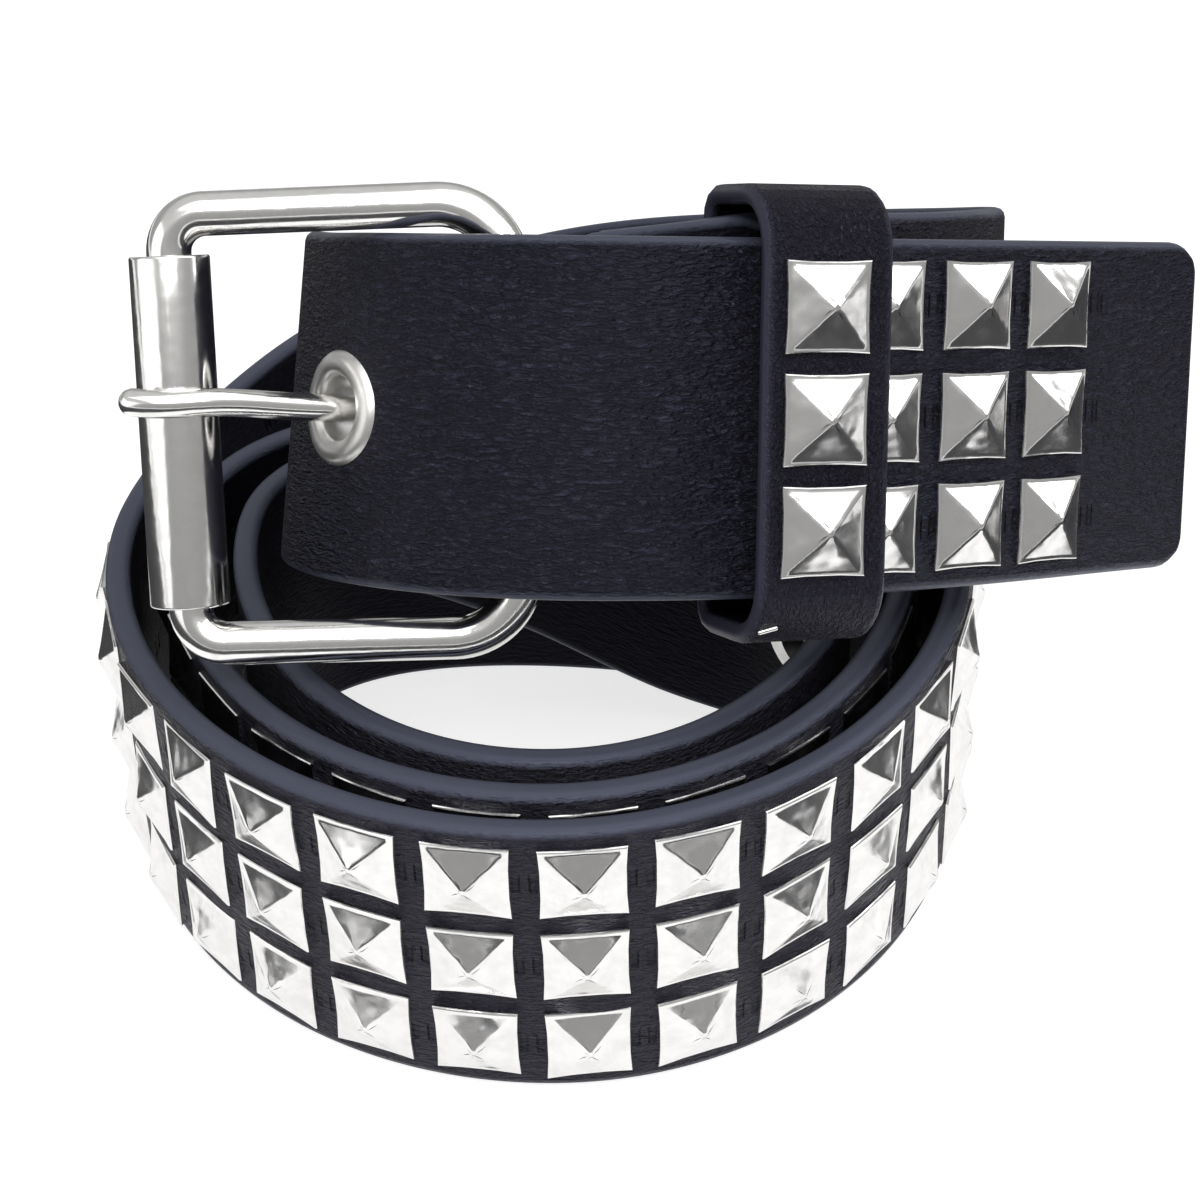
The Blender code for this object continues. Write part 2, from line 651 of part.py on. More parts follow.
def prong_line():
    """(points, radii) from the eye round the heel bar, out through the buckle hole and over the roller to the tip."""
    towards, up, out = buckle_axes()
    eye = WIRE / 2 + FIT_GAP + PRONG_EYE_WIRE / 2
    slim = PRONG_EYE_WIRE / PRONG_WIRE
    start = buckle_point(0, BUCKLE_DROP)
    points, radii = [], []
    for angle in np.linspace(PRONG_EYE_START, PRONG_EYE_END, PRONG_EYE_STEPS):
        points.append(start + eye * (math.cos(angle) * towards + math.sin(angle) * out))
        radii.append(slim)
    hole = ROUTE.place(eyelet_lengths()[0])
    middle = buckle_point(BUCKLE_SPAN, PRONG_RISE)
    lift = ROLLER_DIAMETER / 2 + 2 * FIT_GAP + PRONG_WIRE / 2
    ahead, above = (middle - hole) @ towards, (middle - hole) @ out
    climb = math.atan2(above, ahead) + math.asin(lift / math.hypot(ahead, above))
    touch = middle + lift * (math.cos(climb) * out - math.sin(climb) * towards)
    through = (touch - hole) / np.linalg.norm(touch - hole)
    before, after = hole - EYELET_HOLE / 2 * through, hole + EYELET_HOLE * through
    over = middle + lift * out
    tip = over + PRONG_OVERHANG * (towards + PRONG_TIP_SLOPE * (up - out))
    rows = [(*points[-1], slim), (*(points[-1] + WIRE / 2 * towards), slim)]
    rows += [(*point, 1) for point in (before, hole, after, touch, over, tip)]
    bend = smooth_through(rows, PRONG_STEPS)
    points += [row[:3] for row in bend[1:]]
    radii += [row[3] for row in bend[1:]]
    return points, radii


def make_prong(nickel):
    points, radii = prong_line()
    wire_object("prong", points, PRONG_WIRE, nickel, radii=radii, sides=3)


def keeper_outline(half_height, half_depth, inset, steps=5):
    """Its outline across and out, this far inside the outer one: wide bends in front and tighter ones behind."""
    front, back = KEEPER_BEND - inset, KEEPER_CORNER - inset
    outline = corner((half_height - front, half_depth - front), front, 0, steps)
    outline += corner((front - half_height, half_depth - front), front, 90, steps)
    outline += corner((back - half_height, back - half_depth), back, 180, steps)
    outline += corner((half_height - back, back - half_depth), back, 270, steps)
    return outline


def keeper_place():
    """(matrix, half height, half depth): the keeper's middle and its hollow, with local x along the strap."""
    stack = OWN_BEHIND + STRAP_THICKNESS / 2
    front = STUD_HEIGHT + 2 * FIT_GAP
    point, along = TAIL.at(KEEPER_LENGTH, (stack + 2 * LAYER_GAP - front) / 2)
    height = STRAP_WIDTH + KEEPER_RISE + KEEPER_SIDE_GAP + LAYER_GAP
    rise = (KEEPER_RISE + LAYER_GAP - KEEPER_SIDE_GAP) / 2
    along = loop_point(*along) - loop_point(0, 0)
    up = width_direction(LOOP_TILT, KEEPER_LEAN)
    out = np.cross(along, up)
    out /= np.linalg.norm(out)
    up = np.cross(out, along)
    turned_to = Matrix([list(column) for column in zip(along, up, out)]).to_4x4()
    middle = Matrix.Translation(Vector(loop_point(*point, rise)))
    return middle @ turned_to, height / 2, (stack + 2 * LAYER_GAP + front) / 2


def keeper_stud_rows():
    return [(row - (ROWS - 1) / 2) * KEEPER_STUD_PITCH for row in range(ROWS)]


def make_keeper(leather, nickel):
    matrix, height, depth = keeper_place()
    wall = KEEPER_THICKNESS
    inner = keeper_outline(height, depth, wall)
    outer = keeper_outline(height + wall, depth + wall, 0)
    bm = bmesh.new()
    loops = [
        [bm.verts.new((side * KEEPER_WIDTH / 2, across, out)) for across, out in outline]
        for outline, side in ((inner, -1), (outer, -1), (outer, 1), (inner, 1))
    ]
    for first, second in zip(loops, loops[1:] + loops[:1]):
        for i in range(len(first)):
            bm.faces.new((first[i - 1], first[i], second[i], second[i - 1]))
    keeper = add_object("keeper", finish_mesh(bm, "keeper"), leather)
    keeper.matrix_world = matrix
    keeper.data.shade_smooth()
    keeper.data.set_sharp_from_angle(angle=math.radians(30))
    for number, row in enumerate(keeper_stud_rows()):
        place = matrix @ Matrix.Translation((KEEPER_STUD_SHIFT, row, depth + wall + FIT_GAP))
        make_stud(f"keeper_stud_{number + 1}", place, nickel)


def make_stud(name, place, nickel):
    bm = bmesh.new()
    bmesh.ops.create_cube(bm, size=1)
    bmesh.ops.scale(bm, verts=bm.verts, vec=(STUD_SIDE, STUD_SIDE, STUD_RIM))
    bmesh.ops.translate(bm, verts=bm.verts, vec=(0, 0, STUD_RIM / 2))
    top = [face for face in bm.faces if face.normal.z > 0.9]
    point = bmesh.ops.poke(bm, faces=top)["verts"]
    bmesh.ops.translate(bm, verts=point, vec=(0, 0, STUD_HEIGHT - STUD_RIM))
    stud = add_object(name, finish_mesh(bm, name), nickel)
    stud.matrix_world = place


def make_tip_studs(nickel):
    last = ROUTE.total - TIP_MARGIN - STUD_SIDE / 2
    for column in range(TIP_COLUMNS):
        length = last - (TIP_COLUMNS - 1 - column) * COLUMN_PITCH
        for number, row in enumerate(stud_rows()):
            place = ROUTE.matrix(length, row, STRAP_THICKNESS / 2 + FIT_GAP)
            make_stud(f"tip_stud_{column + 1}_{number + 1}", place, nickel)


def centre_on_floor():
    """Moves the whole belt so that the middle of its footprint is the origin."""
    bpy.context.view_layer.update()
    graph = bpy.context.evaluated_depsgraph_get()
    corners = []
    for obj in bpy.data.objects:
        mesh = obj.evaluated_get(graph).to_mesh()
        corners += [obj.matrix_world @ vert.co for vert in mesh.vertices]
    corners = np.array(corners)
    low, high = corners.min(axis=0), corners.max(axis=0)
    shift = Vector((-(low[0] + high[0]) / 2, -(low[1] + high[1]) / 2, -low[2]))
    for obj in bpy.data.objects:
        obj.matrix_world = Matrix.Translation(shift) @ obj.matrix_world


def main():
    clear_scene()
    strap_leather = material("strap leather", (0.016, 0.017, 0.026), 0.48, 0.0)
    keeper_leather = material("keeper leather", (0.018, 0.016, 0.024), 0.5, 0.0)
    nickel = material("polished nickel", (0.80, 0.79, 0.77), 0.12, 1.0)
    make_strap(strap_leather, nickel)
    make_eyelets(nickel)
    make_buckle_frame(nickel)
    make_roller(nickel)
    make_prong(nickel)
    make_keeper(keeper_leather, nickel)
    make_tip_studs(nickel)
    centre_on_floor()


main()
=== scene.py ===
"""The looks of a studded belt, buckled and wound up: its leather, studs, eyelets, buckle and keeper, each
laid where the solid model has it.

Flat, x runs along the strap from its folded end to its tip, y across it from its lower edge to its upper
one, and z is the grain side, which faces out. Pieces are made flat and then wound along the strap's route.
"""

import math

import bpy
import numpy as np
from mathutils import Matrix, Vector


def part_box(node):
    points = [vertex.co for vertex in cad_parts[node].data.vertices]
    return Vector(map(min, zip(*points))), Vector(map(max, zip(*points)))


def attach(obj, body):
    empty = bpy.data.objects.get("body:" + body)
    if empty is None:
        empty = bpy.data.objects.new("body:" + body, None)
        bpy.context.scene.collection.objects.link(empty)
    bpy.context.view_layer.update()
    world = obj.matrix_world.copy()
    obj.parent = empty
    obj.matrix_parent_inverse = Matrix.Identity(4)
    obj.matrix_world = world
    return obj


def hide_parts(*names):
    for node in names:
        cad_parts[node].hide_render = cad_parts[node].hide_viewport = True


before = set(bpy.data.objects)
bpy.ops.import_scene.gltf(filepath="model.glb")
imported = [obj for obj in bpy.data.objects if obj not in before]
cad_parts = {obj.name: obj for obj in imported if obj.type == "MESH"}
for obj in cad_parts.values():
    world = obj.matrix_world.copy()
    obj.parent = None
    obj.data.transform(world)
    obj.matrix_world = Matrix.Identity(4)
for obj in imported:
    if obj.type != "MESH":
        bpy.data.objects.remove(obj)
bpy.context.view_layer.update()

# The strap
STRAP_WIDTH = 0.0377
STRAP_THICKNESS = 0.0030
FLAP_THICKNESS = 0.0022
FLAP_POINT = 0.0085
FLAP_POINT_LENGTH = 0.017
TIP_CORNER = 0.0042
LAYER_GAP = 0.0005
FIT_GAP = 0.0003

# The studs
STUD_SIDE = 0.0095
STUD_HEIGHT = 0.0025
ROWS = 3
EDGE_MARGIN = 0.0022
COLUMN_GAP = 0.0025
COLUMN_OFFSET = -0.0098
FIELD_START_TURN = 118
FIELD_END_TURN = 905

# The turns that stand on the floor, measured to the strap's middle line at the first front pass
COIL_FRONT = 0.0545
COIL_BACK = 0.0314
COIL_LEFT = 0.0516
COIL_RIGHT = 0.0488
COIL_BACK_SHIFT = 0.012
FRONT_CLEARANCE = 0.00025
BACK_CLEARANCE = 0.0007
LEFT_CLEARANCE = 0.0021
RIGHT_CLEARANCE = 0.0010
COIL_START_TURN = 285
COIL_END_TURN = 1165
COIL_TURN_STEP = 20

# The buckled loop: it leans back, and its front stands clear above the turns
LOOP_TILT = math.radians(28.2)
LOOP_ROLL = math.radians(1.9)
LOOP_SIDE_LEAN = math.radians(6.5)
LOOP_LIFT = 0.0182
LOOP_DROP = 0.45 * STRAP_WIDTH
LOOP_FRONT = 0.0319
LOOP_DEPTH = 0.0845
LOOP_REACH = 0.0508
TAIL_REACH = 0.0738

# The buckle
WIRE = 0.0048
BUCKLE_SPAN = 0.0364
BUCKLE_WINDOW = 0.0414
BUCKLE_TURN = math.radians(4)
BUCKLE_LEAN = math.radians(-1.0)
BUCKLE_DROP = 0.0008
HEEL_ACROSS = -0.0064
HEEL_CORNER = 0.0076
ROLLER_CORNER = 0.0040
ROLLER_DIAMETER = 0.0086
PRONG_WIRE = 0.0030
PRONG_EYE_WIRE = 0.0020
PRONG_OVERHANG = 0.0048
PRONG_RISE = 0.0034
PRONG_TIP_SLOPE = 0.1
PRONG_EYE_START = math.radians(50)
PRONG_EYE_END = math.radians(270)
SLOT_LENGTH = 0.0245
SLOT_CLEARANCE = 0.0008

# The eyelets
EYELET_HOLE = 0.0070
EYELET_WALL = 0.0005
EYELET_FLANGE = 0.0125
EYELET_CROWN = 0.0006
EYELET_ACROSS = -0.0218
EYELET_PITCH = 0.025
EYELET_COUNT = 6

# The keeper
KEEPER_WIDTH = 0.0144
KEEPER_THICKNESS = 0.0022
KEEPER_ACROSS = 0.0266
KEEPER_LEAN = math.radians(1.9)
KEEPER_STUD_PITCH = 0.0115
KEEPER_STUD_SHIFT = -0.0004
KEEPER_SIDE_GAP = 0.0025
KEEPER_RISE = 0.0028
KEEPER_CORNER = 0.0034
KEEPER_BEND = 0.0070

# The studs by the tip
TIP_COLUMNS = 3
TIP_MARGIN = 0.0188

COLUMN_PITCH = STUD_SIDE + COLUMN_GAP
ROW_PITCH = (STRAP_WIDTH - 2 * EDGE_MARGIN - STUD_SIDE) / (ROWS - 1)
TURN_DEPTH = STRAP_THICKNESS + STUD_HEIGHT
LOOP_HEIGHT = STRAP_WIDTH + LOOP_LIFT + LOOP_DROP
KEEPER_SIDE_LEAN = 0.5 * LOOP_SIDE_LEAN
RIGHT_END_SIDE_LEAN = 0.3 * LOOP_SIDE_LEAN
FOLD_WAIST = 2 * WIRE
FOLD_SHOULDER = 3.5 * WIRE

# How finely the curved lines are followed
FOLD_ROWS = 7
TAIL_ROWS = 15
TAIL_STEPS = 600
ROUTE_STEPS = 6000
PRONG_STEPS = 30
PRONG_EYE_STEPS = 13
LOOK_AHEAD = 0.001

# Where along the strap its landmarks lie, as shares of its whole length
FOLD_WITHIN = (0, 0.1)
FRONT_PASS_WITHIN = (0.22, 0.62)
FIELD_STARTS_AFTER = 0.1
FIELD_ENDS_AFTER_FRONT = 0.27

# The grain side of the buckled tail in the loop's tilted plane: shares of TAIL_REACH, LOOP_DEPTH
# and LOOP_SIDE_LEAN
TAIL_LINE = (
    ("left bend", -0.406, 0.341, 1.00),
    ("left bend", -0.377, 0.250, 1.00),
    ("buckle hole", -0.325, 0.168, 0.95),
    ("left of the middle", -0.237, 0.088, 0.85),
    ("left of the middle", -0.145, 0.037, 0.75),
    ("heel bar", -0.044, 0.008, 0.65),
    ("middle", 0.058, 0.000, 0.55),
    ("middle", 0.160, 0.010, 0.50),
    ("before the keeper", 0.262, 0.028, 0.50),
    ("keeper", 0.368, 0.058, 0.50),
    ("after the keeper", 0.475, 0.100, 0.50),
    ("tip studs", 0.581, 0.155, 0.50),
    ("tip studs", 0.698, 0.225, 0.50),
    ("bare tip", 0.824, 0.310, 0.50),
    ("tip", 1.000, 0.427, 0.50),
)

# The strap's own way from the keeper round the loop's right end: shares of LOOP_REACH, LOOP_DEPTH,
# KEEPER_RISE and LOOP_TILT
RIGHT_END = (
    ("leaving the tail", 0.807, 0.266, 1.05, 1.0),
    ("right bend", 0.955, 0.390, 1.25, 1.0),
    ("right end", 1.000, 0.538, 1.40, 0.97),
    ("right end", 0.945, 0.698, 1.40, 0.95),
    ("back bend", 0.787, 0.840, 1.35, 0.92),
    ("back", 0.551, 0.941, 1.20, 0.89),
    ("back", 0.256, 1.000, 0.90, 0.85),
)

# Down from the loop's back to the first turn: shares of COIL_LEFT, LOOP_DEPTH, LOOP_HEIGHT above the
# turns, and LOOP_TILT
DESCENT = (
    ("back", -0.08, 0.550, 0.215, 0.66),
    ("back left", -0.39, 0.527, 0.132, 0.44),
    ("back left", -0.68, 0.438, 0.063, 0.24),
    ("left", -0.895, 0.290, 0.020, 0.09),
    ("left", -1.012, 0.130, 0.001, 0.02),
)

# Up from the innermost turn to the tail's left bend, in the same shares, the last also of LOOP_SIDE_LEAN
RISE = (
    ("right", 0.525, 0.078, 0.010, 0.10),
    ("back right", 0.345, 0.130, 0.060, 0.20),
    ("back", 0.117, 0.160, 0.195, 0.34),
    ("back", -0.117, 0.152, 0.350, 0.52),
    ("back left", -0.331, 0.112, 0.484, 0.74),
    ("left bend", -0.486, 0.024, 0.642, 0.92),
)


def unit(vector):
    return vector / np.linalg.norm(vector)


def turned_to(*axes):
    """The turn that lays x, y and z along these three directions."""
    return Matrix([[float(axis[i]) for axis in axes] for i in range(3)]).to_4x4()


def lengths_along(points):
    """How far along the line through these points each of them lies."""
    return np.concatenate([[0], np.cumsum(np.linalg.norm(np.diff(points, axis=0), axis=1))])


def read_along(length, lengths, values):
    """The values at this length along a line, between those of its points."""
    return np.stack([np.interp(length, lengths, column) for column in values.T], axis=-1)


def smooth_through(points, count):
    """Points evenly spaced along a natural cubic spline through these, with any further columns carried."""
    points = np.asarray(points, float)
    steps = np.linalg.norm(np.diff(points[:, :3], axis=0), axis=1)
    knots = np.concatenate([[0], np.cumsum(steps)])
    size = len(points)
    system = np.eye(size)
    right = np.zeros_like(points)
    for i in range(1, size - 1):
        before, after = steps[i - 1], steps[i]
        system[i, i - 1 : i + 2] = before / 6, (before + after) / 3, after / 6
        right[i] = (points[i + 1] - points[i]) / after - (points[i] - points[i - 1]) / before
    bend = np.linalg.solve(system, right)
    at = np.linspace(0, knots[-1], count)
    span = np.clip(np.searchsorted(knots, at, side="right") - 1, 0, size - 2)
    width = steps[span]
    low = ((knots[span + 1] - at) / width)[:, None]
    high = 1 - low
    square = (width**2)[:, None] / 6
    curve = low * points[span] + high * points[span + 1]
    return curve + ((low**3 - low) * bend[span] + (high**3 - high) * bend[span + 1]) * square


def width_direction(lean, side):
    """The direction across the strap, from its lower edge to its upper one, leaning back and to the side."""
    return np.array([math.sin(side), math.sin(lean) * math.cos(side), math.cos(lean) * math.cos(side)])


def loop_point(across, depth, rise=0.0):
    """A point in the plane of the tilted loop, whose zero is the middle of the tail's grain side in front."""
    back = np.array([0, math.cos(LOOP_TILT), -math.sin(LOOP_TILT)])
    up = np.array([0, math.sin(LOOP_TILT), math.cos(LOOP_TILT)])
    sideways = np.array([math.cos(LOOP_ROLL), 0, 0]) - math.sin(LOOP_ROLL) * up
    return np.array([0, -LOOP_FRONT, LOOP_HEIGHT]) + across * sideways + depth * back + rise * up


def coil_point(turn):
    """The strap's middle line in the turns: an oval of four quarter ellipses that shrinks as it winds."""
    wound = turn / 360 - 1
    across, ahead = math.sin(math.radians(turn)), math.cos(math.radians(turn))
    if across > 0:
        half_width = COIL_RIGHT - (TURN_DEPTH + RIGHT_CLEARANCE) * wound
    else:
        half_width = COIL_LEFT - (TURN_DEPTH + LEFT_CLEARANCE) * wound
    if ahead > 0:
        half_depth = COIL_FRONT - (TURN_DEPTH + FRONT_CLEARANCE) * wound
    else:
        half_depth = COIL_BACK - (TURN_DEPTH + BACK_CLEARANCE) * wound
    shift = COIL_BACK_SHIFT * min(0, ahead) ** 2
    return np.array([half_width * across - shift, -half_depth * ahead, STRAP_WIDTH / 2])


class TailLine:
    """The tail's grain side in the loop's plane, and what lies at a set depth behind it."""

    def __init__(self):
        rows = [(across * TAIL_REACH, depth * LOOP_DEPTH, 0, lean) for _, across, depth, lean in TAIL_LINE]
        line = smooth_through(rows, TAIL_STEPS)
        self.points, self.leans = line[:, :2], line[:, 3] * LOOP_SIDE_LEAN
        self.lengths = lengths_along(self.points)

    def length_at(self, across):
        return self.lengths[np.argmin(abs(self.points[:, 0] - across))]

    def at(self, length, behind=0.0):
        """(point, direction) at this length along the line, and at this depth behind the grain side."""
        at = length + np.array([0, LOOK_AHEAD, -LOOK_AHEAD])
        point, ahead, back = read_along(at, self.lengths, self.points)
        direction = unit(ahead - back)
        return point + behind * np.array([-direction[1], direction[0]]), direction


TAIL = TailLine()
HEEL_LENGTH = TAIL.length_at(HEEL_ACROSS)
KEEPER_LENGTH = TAIL.length_at(KEEPER_ACROSS)
FLAP_BEHIND = STRAP_THICKNESS + LAYER_GAP + FLAP_THICKNESS / 2
HEEL_BEHIND = STRAP_THICKNESS + LAYER_GAP + FLAP_THICKNESS + FIT_GAP + WIRE / 2
OWN_BEHIND = STRAP_THICKNESS + LAYER_GAP + FLAP_THICKNESS + LAYER_GAP + STRAP_THICKNESS / 2
HEEL, HEEL_ALONG = TAIL.at(HEEL_LENGTH, HEEL_BEHIND)
FLAP_END_LENGTH = KEEPER_LENGTH + KEEPER_WIDTH / 2 + FLAP_POINT_LENGTH * 0.4


def fold_row(length, behind):
    """A row beside the tail: by the heel bar it leans as the buckle does, by the keeper as the tail does."""
    point, _ = TAIL.at(length, behind)
    share = np.interp(length, [HEEL_LENGTH + 2 * WIRE, KEEPER_LENGTH], [0, 1])
    lean = BUCKLE_LEAN + share * (KEEPER_SIDE_LEAN - BUCKLE_LEAN)
    return (*loop_point(*point, share * KEEPER_RISE), LOOP_TILT, lean)


def fold_rows():
    """From the flap's end, left between tail and strap, round the heel bar and back behind to the keeper."""
    flap = np.linspace(FLAP_END_LENGTH, HEEL_LENGTH + WIRE, FOLD_ROWS)
    rows = [fold_row(length, FLAP_BEHIND) for length in flap]
    behind = np.array([-HEEL_ALONG[1], HEEL_ALONG[0]])
    for angle in np.linspace(0, math.pi, FOLD_ROWS):
        radius = WIRE / 2 + FIT_GAP * (1 + angle / math.pi) + leather_at_fold(angle / math.pi) / 2
        point = HEEL - HEEL_ALONG * radius * math.sin(angle) - behind * radius * math.cos(angle)
        rows.append((*loop_point(*point), LOOP_TILT, BUCKLE_LEAN))
    settled = HEEL_LENGTH + 4 * WIRE
    ends = KEEPER_LENGTH + KEEPER_WIDTH / 2
    return rows + [fold_row(length, OWN_BEHIND) for length in np.linspace(settled, ends, FOLD_ROWS // 2 + 1)]


def leather_at_fold(share):
    return FLAP_THICKNESS + (STRAP_THICKNESS - FLAP_THICKNESS) * share


def between(rows, side_lean):
    """Rows of the strap's way between the turns and the loop."""
    low = STRAP_WIDTH / 2
    for _, across, depth, lift, lean in rows:
        place = (across * COIL_LEFT, depth * LOOP_DEPTH, low + lift * (LOOP_HEIGHT - low))
        yield (*place, lean * LOOP_TILT, lean * side_lean)


def route_rows():
    """(x, y, z, lean, side lean) of the strap's middle line from the flap's end to the tip."""
    rows = fold_rows()
    for _, across, depth, rise, lean in RIGHT_END:
        point = loop_point(across * LOOP_REACH, depth * LOOP_DEPTH, rise * KEEPER_RISE)
        rows.append((*point, lean * LOOP_TILT, RIGHT_END_SIDE_LEAN))
    rows += between(DESCENT, 0)
    rows += [(*coil_point(turn), 0, 0) for turn in range(COIL_START_TURN, COIL_END_TURN, COIL_TURN_STEP)]
    rows += between(RISE, LOOP_SIDE_LEAN)
    for length in np.linspace(0, TAIL.lengths[-1], TAIL_ROWS):
        point, _ = TAIL.at(length, STRAP_THICKNESS / 2)
        side = np.interp(length, TAIL.lengths, TAIL.leans)
        rows.append((*loop_point(*point), LOOP_TILT, side))
    return rows


class Route:
    """The strap's middle line, and how points of the flat strap lie on it."""

    def __init__(self, rows):
        path = smooth_through(rows, ROUTE_STEPS)
        path[:, 2] = np.maximum(path[:, 2], STRAP_WIDTH / 2)
        self.points = path[:, :3]
        self.lengths = lengths_along(self.points)
        along = np.gradient(self.points, axis=0)
        along /= np.linalg.norm(along, axis=1)[:, None]
        up = np.array([width_direction(lean, side) for lean, side in path[:, 3:]])
        out = np.cross(along, up)
        out /= np.linalg.norm(out, axis=1)[:, None]
        self.out, self.up = out, np.cross(out, along)
        self.total = self.lengths[-1]

    def read(self, values, length):
        return read_along(length, self.lengths, values)

    def place(self, length, across=0.0, out=0.0):
        length, across, out = (np.asarray(value, float) for value in (length, across, out))
        middle = self.read(self.points, length)
        up, outwards = self.read(self.up, length), self.read(self.out, length)
        return middle + across[..., None] * up + out[..., None] * outwards

    def matrix(self, length, across, out, reach):
        """Where a stiff square lies whose two sides, this far ahead and behind, rest on the bent strap."""
        ahead, behind = self.place(length + reach, across, out), self.place(length - reach, across, out)
        along = unit(ahead - behind)
        facing = unit(np.cross(along, self.read(self.up, length)))
        turn = turned_to(along, np.cross(facing, along), facing)
        return Matrix.Translation(Vector((ahead + behind) / 2)) @ turn

    def nearest(self, point, after, before):
        """The length at which the strap passes nearest to a point, between two shares of its whole length."""
        inside = (self.lengths > after * self.total) & (self.lengths < before * self.total)
        apart = np.linalg.norm(self.points - point, axis=1)
        return self.lengths[np.argmin(np.where(inside, apart, np.inf))]


ROUTE = Route(route_rows())
FOLD_LENGTH = ROUTE.nearest(loop_point(*(HEEL - HEEL_ALONG * WIRE)), *FOLD_WITHIN)
FRONT_PASS = ROUTE.nearest(coil_point(360), *FRONT_PASS_WITHIN)
TAIL_START = ROUTE.total - TAIL.lengths[-1]

# How finely the leather is cut, and how its edges and ends are rounded
SLICE = 0.00125
EDGE_ROUND = 0.0011
EDGE_STEPS = 3
END_STEPS = 7
CUTS_ACROSS = (-1, -0.5, 0, 0.5, 1)
CUTS_INSIDE_EDGE = 1.35
SMOOTH_ANGLE = 40
MERGE_WITHIN = 1e-6

# The paint of the cut edge: where it starts to fade inwards, and where it has gone
EDGE_PAINT = (0.4 * EDGE_ROUND, EDGE_ROUND)
KEEPER_EDGE_PAINT = (0.0003, 0.0010)

# The holes and the prong's slot
PUNCH_CLEARANCE = 1.6 * FIT_GAP
PUNCH_DEPTH = 4 * STRAP_THICKNESS
PUNCH_SIDES = 32

# A stud's outline from its skirt to its point: shares of half its side, and of its height
STUD_PROFILE = (
    ("skirt", 0.975, -0.15),
    ("foot", 0.990, 0.03),
    ("rim", 1.000, 0.095),
    ("rim top", 0.988, 0.160),
    ("lip", 0.960, 0.200),
    ("groove", 0.918, 0.206),
    ("dished side", 0.870, 0.240),
    ("dished side", 0.600, 0.462),
    ("dished side", 0.300, 0.720),
    ("by the point", 0.085, 0.915),
)
STUD_WAIST = 0.024
STUD_WAIST_REACH = 0.42
STUD_CORNER = 0.010
STUD_WOBBLE = math.radians(1.6)
STUD_SEED = 4
STUD_RIDGE = 0.00032
RIDGE_FOOT = 0.2 * STUD_HEIGHT
DIAGONAL_WITHIN = 0.01 * STUD_SIDE
STUD_SMOOTH = 28

# The slits beside the studs, painted black for the shade inside them
SLIT_OUT = 0.00035
SLIT_WIDTH = 0.0005
SLIT_LENGTH = 0.0024
SLIT_HALF_OPEN = (0.35 * SLIT_LENGTH, 0.6 * SLIT_LENGTH)
SLIT_DEPTH = 2.0

# The eyelets' flange: the part of its arc that stands proud, its height and how flat it is on top
FLANGE_ARC = (0.12, 0.88)
FLANGE_STEPS = 11
FLANGE_HEIGHT = 0.85
FLANGE_FLATNESS = 3
FLANGE_SUNK = 0.2
EYELET_SIDES = 48

# The buckle's finer sizes
WIRE_STEPS = 8
ROLLER_CORNER_STEPS = 14
HEEL_CORNER_STEPS = 18
ROLLER_SIDES = 96
ROLLER_EDGE = 0.00028
ROLLER_EDGE_STEPS = 5
ROLLER_LIP = 0.0009
DOME_STEPS = 6
DOME_REACH = 0.75
DOME_TIP = 0.05

# The keeper's finer sizes
KEEPER_EDGE_ROUND = 0.0009
KEEPER_STEPS = 9
KEEPER_REACH = 0.0004
KEEPER_MERGE = 2e-5

# The staple that closes the keeper
STAPLE_SIDES = 16
STAPLE_WIRE = 0.0006
STAPLE_LENGTH = 0.0022
STAPLE_ALONG = -0.0054
STAPLE_TILT = math.radians(24)

# The camera stands where the photograph was taken, in the route's own measure
CAMERA_PLACE = (0.00705, -0.25505, 0.21357)
CAMERA_YAW = math.radians(-0.6358)
CAMERA_PITCH = math.radians(36.268)
CAMERA_ROLL = math.radians(-1.5346)
CAMERA_LENS = 76.907
CAMERA_SENSOR = 36
CAMERA_NEAR = 0.01


def half_width(length):
    """Half the strap's width: the flap ends in a blunt point, and the fold is narrow to pass the buckle."""
    folded = (BUCKLE_WINDOW + WIRE) / 2 - HEEL_CORNER
    point = STRAP_WIDTH / 2 - FLAP_POINT * np.maximum(0, 1 - length / FLAP_POINT_LENGTH)
    waist = np.interp(abs(length - FOLD_LENGTH), [FOLD_WAIST, FOLD_SHOULDER], [folded, STRAP_WIDTH / 2])
    return np.minimum(point, waist)


def thickness(length):
    share = np.interp(length, [FOLD_LENGTH - WIRE, FOLD_LENGTH + WIRE], [0, 1])
    return leather_at_fold(share)


def stud_rows(pitch=ROW_PITCH):
    return [(row - (ROWS - 1) / 2) * pitch for row in range(ROWS)]


def field_columns():
    """Where the studs of the long field lie along the strap, counted from the one by the first front pass."""
    front = FRONT_PASS / ROUTE.total
    first = ROUTE.nearest(coil_point(FIELD_START_TURN), FIELD_STARTS_AFTER, front)
    after = front + FIELD_ENDS_AFTER_FRONT
    last = ROUTE.nearest(coil_point(FIELD_END_TURN), after, TAIL_START / ROUTE.total)
    zero = FRONT_PASS + COLUMN_OFFSET
    low = math.ceil((first - zero) / COLUMN_PITCH)
    high = math.floor((last - zero) / COLUMN_PITCH)
    return [zero + column * COLUMN_PITCH for column in range(low, high + 1)]


def eyelet_lengths():
    used = TAIL_START + TAIL.length_at(EYELET_ACROSS)
    return [used - number * EYELET_PITCH for number in range(EYELET_COUNT)]


def buckle_axes():
    """The buckle's directions: from heel bar to roller, up along the bars, and out of its face."""
    back = loop_point(0, 1) - loop_point(0, 0)
    sideways = loop_point(1, 0) - loop_point(0, 0)
    up = width_direction(LOOP_TILT, BUCKLE_LEAN)
    towards = math.sin(BUCKLE_TURN) * back - math.cos(BUCKLE_TURN) * sideways
    towards = unit(towards - (towards @ up) * up)
    return towards, up, np.cross(up, towards)


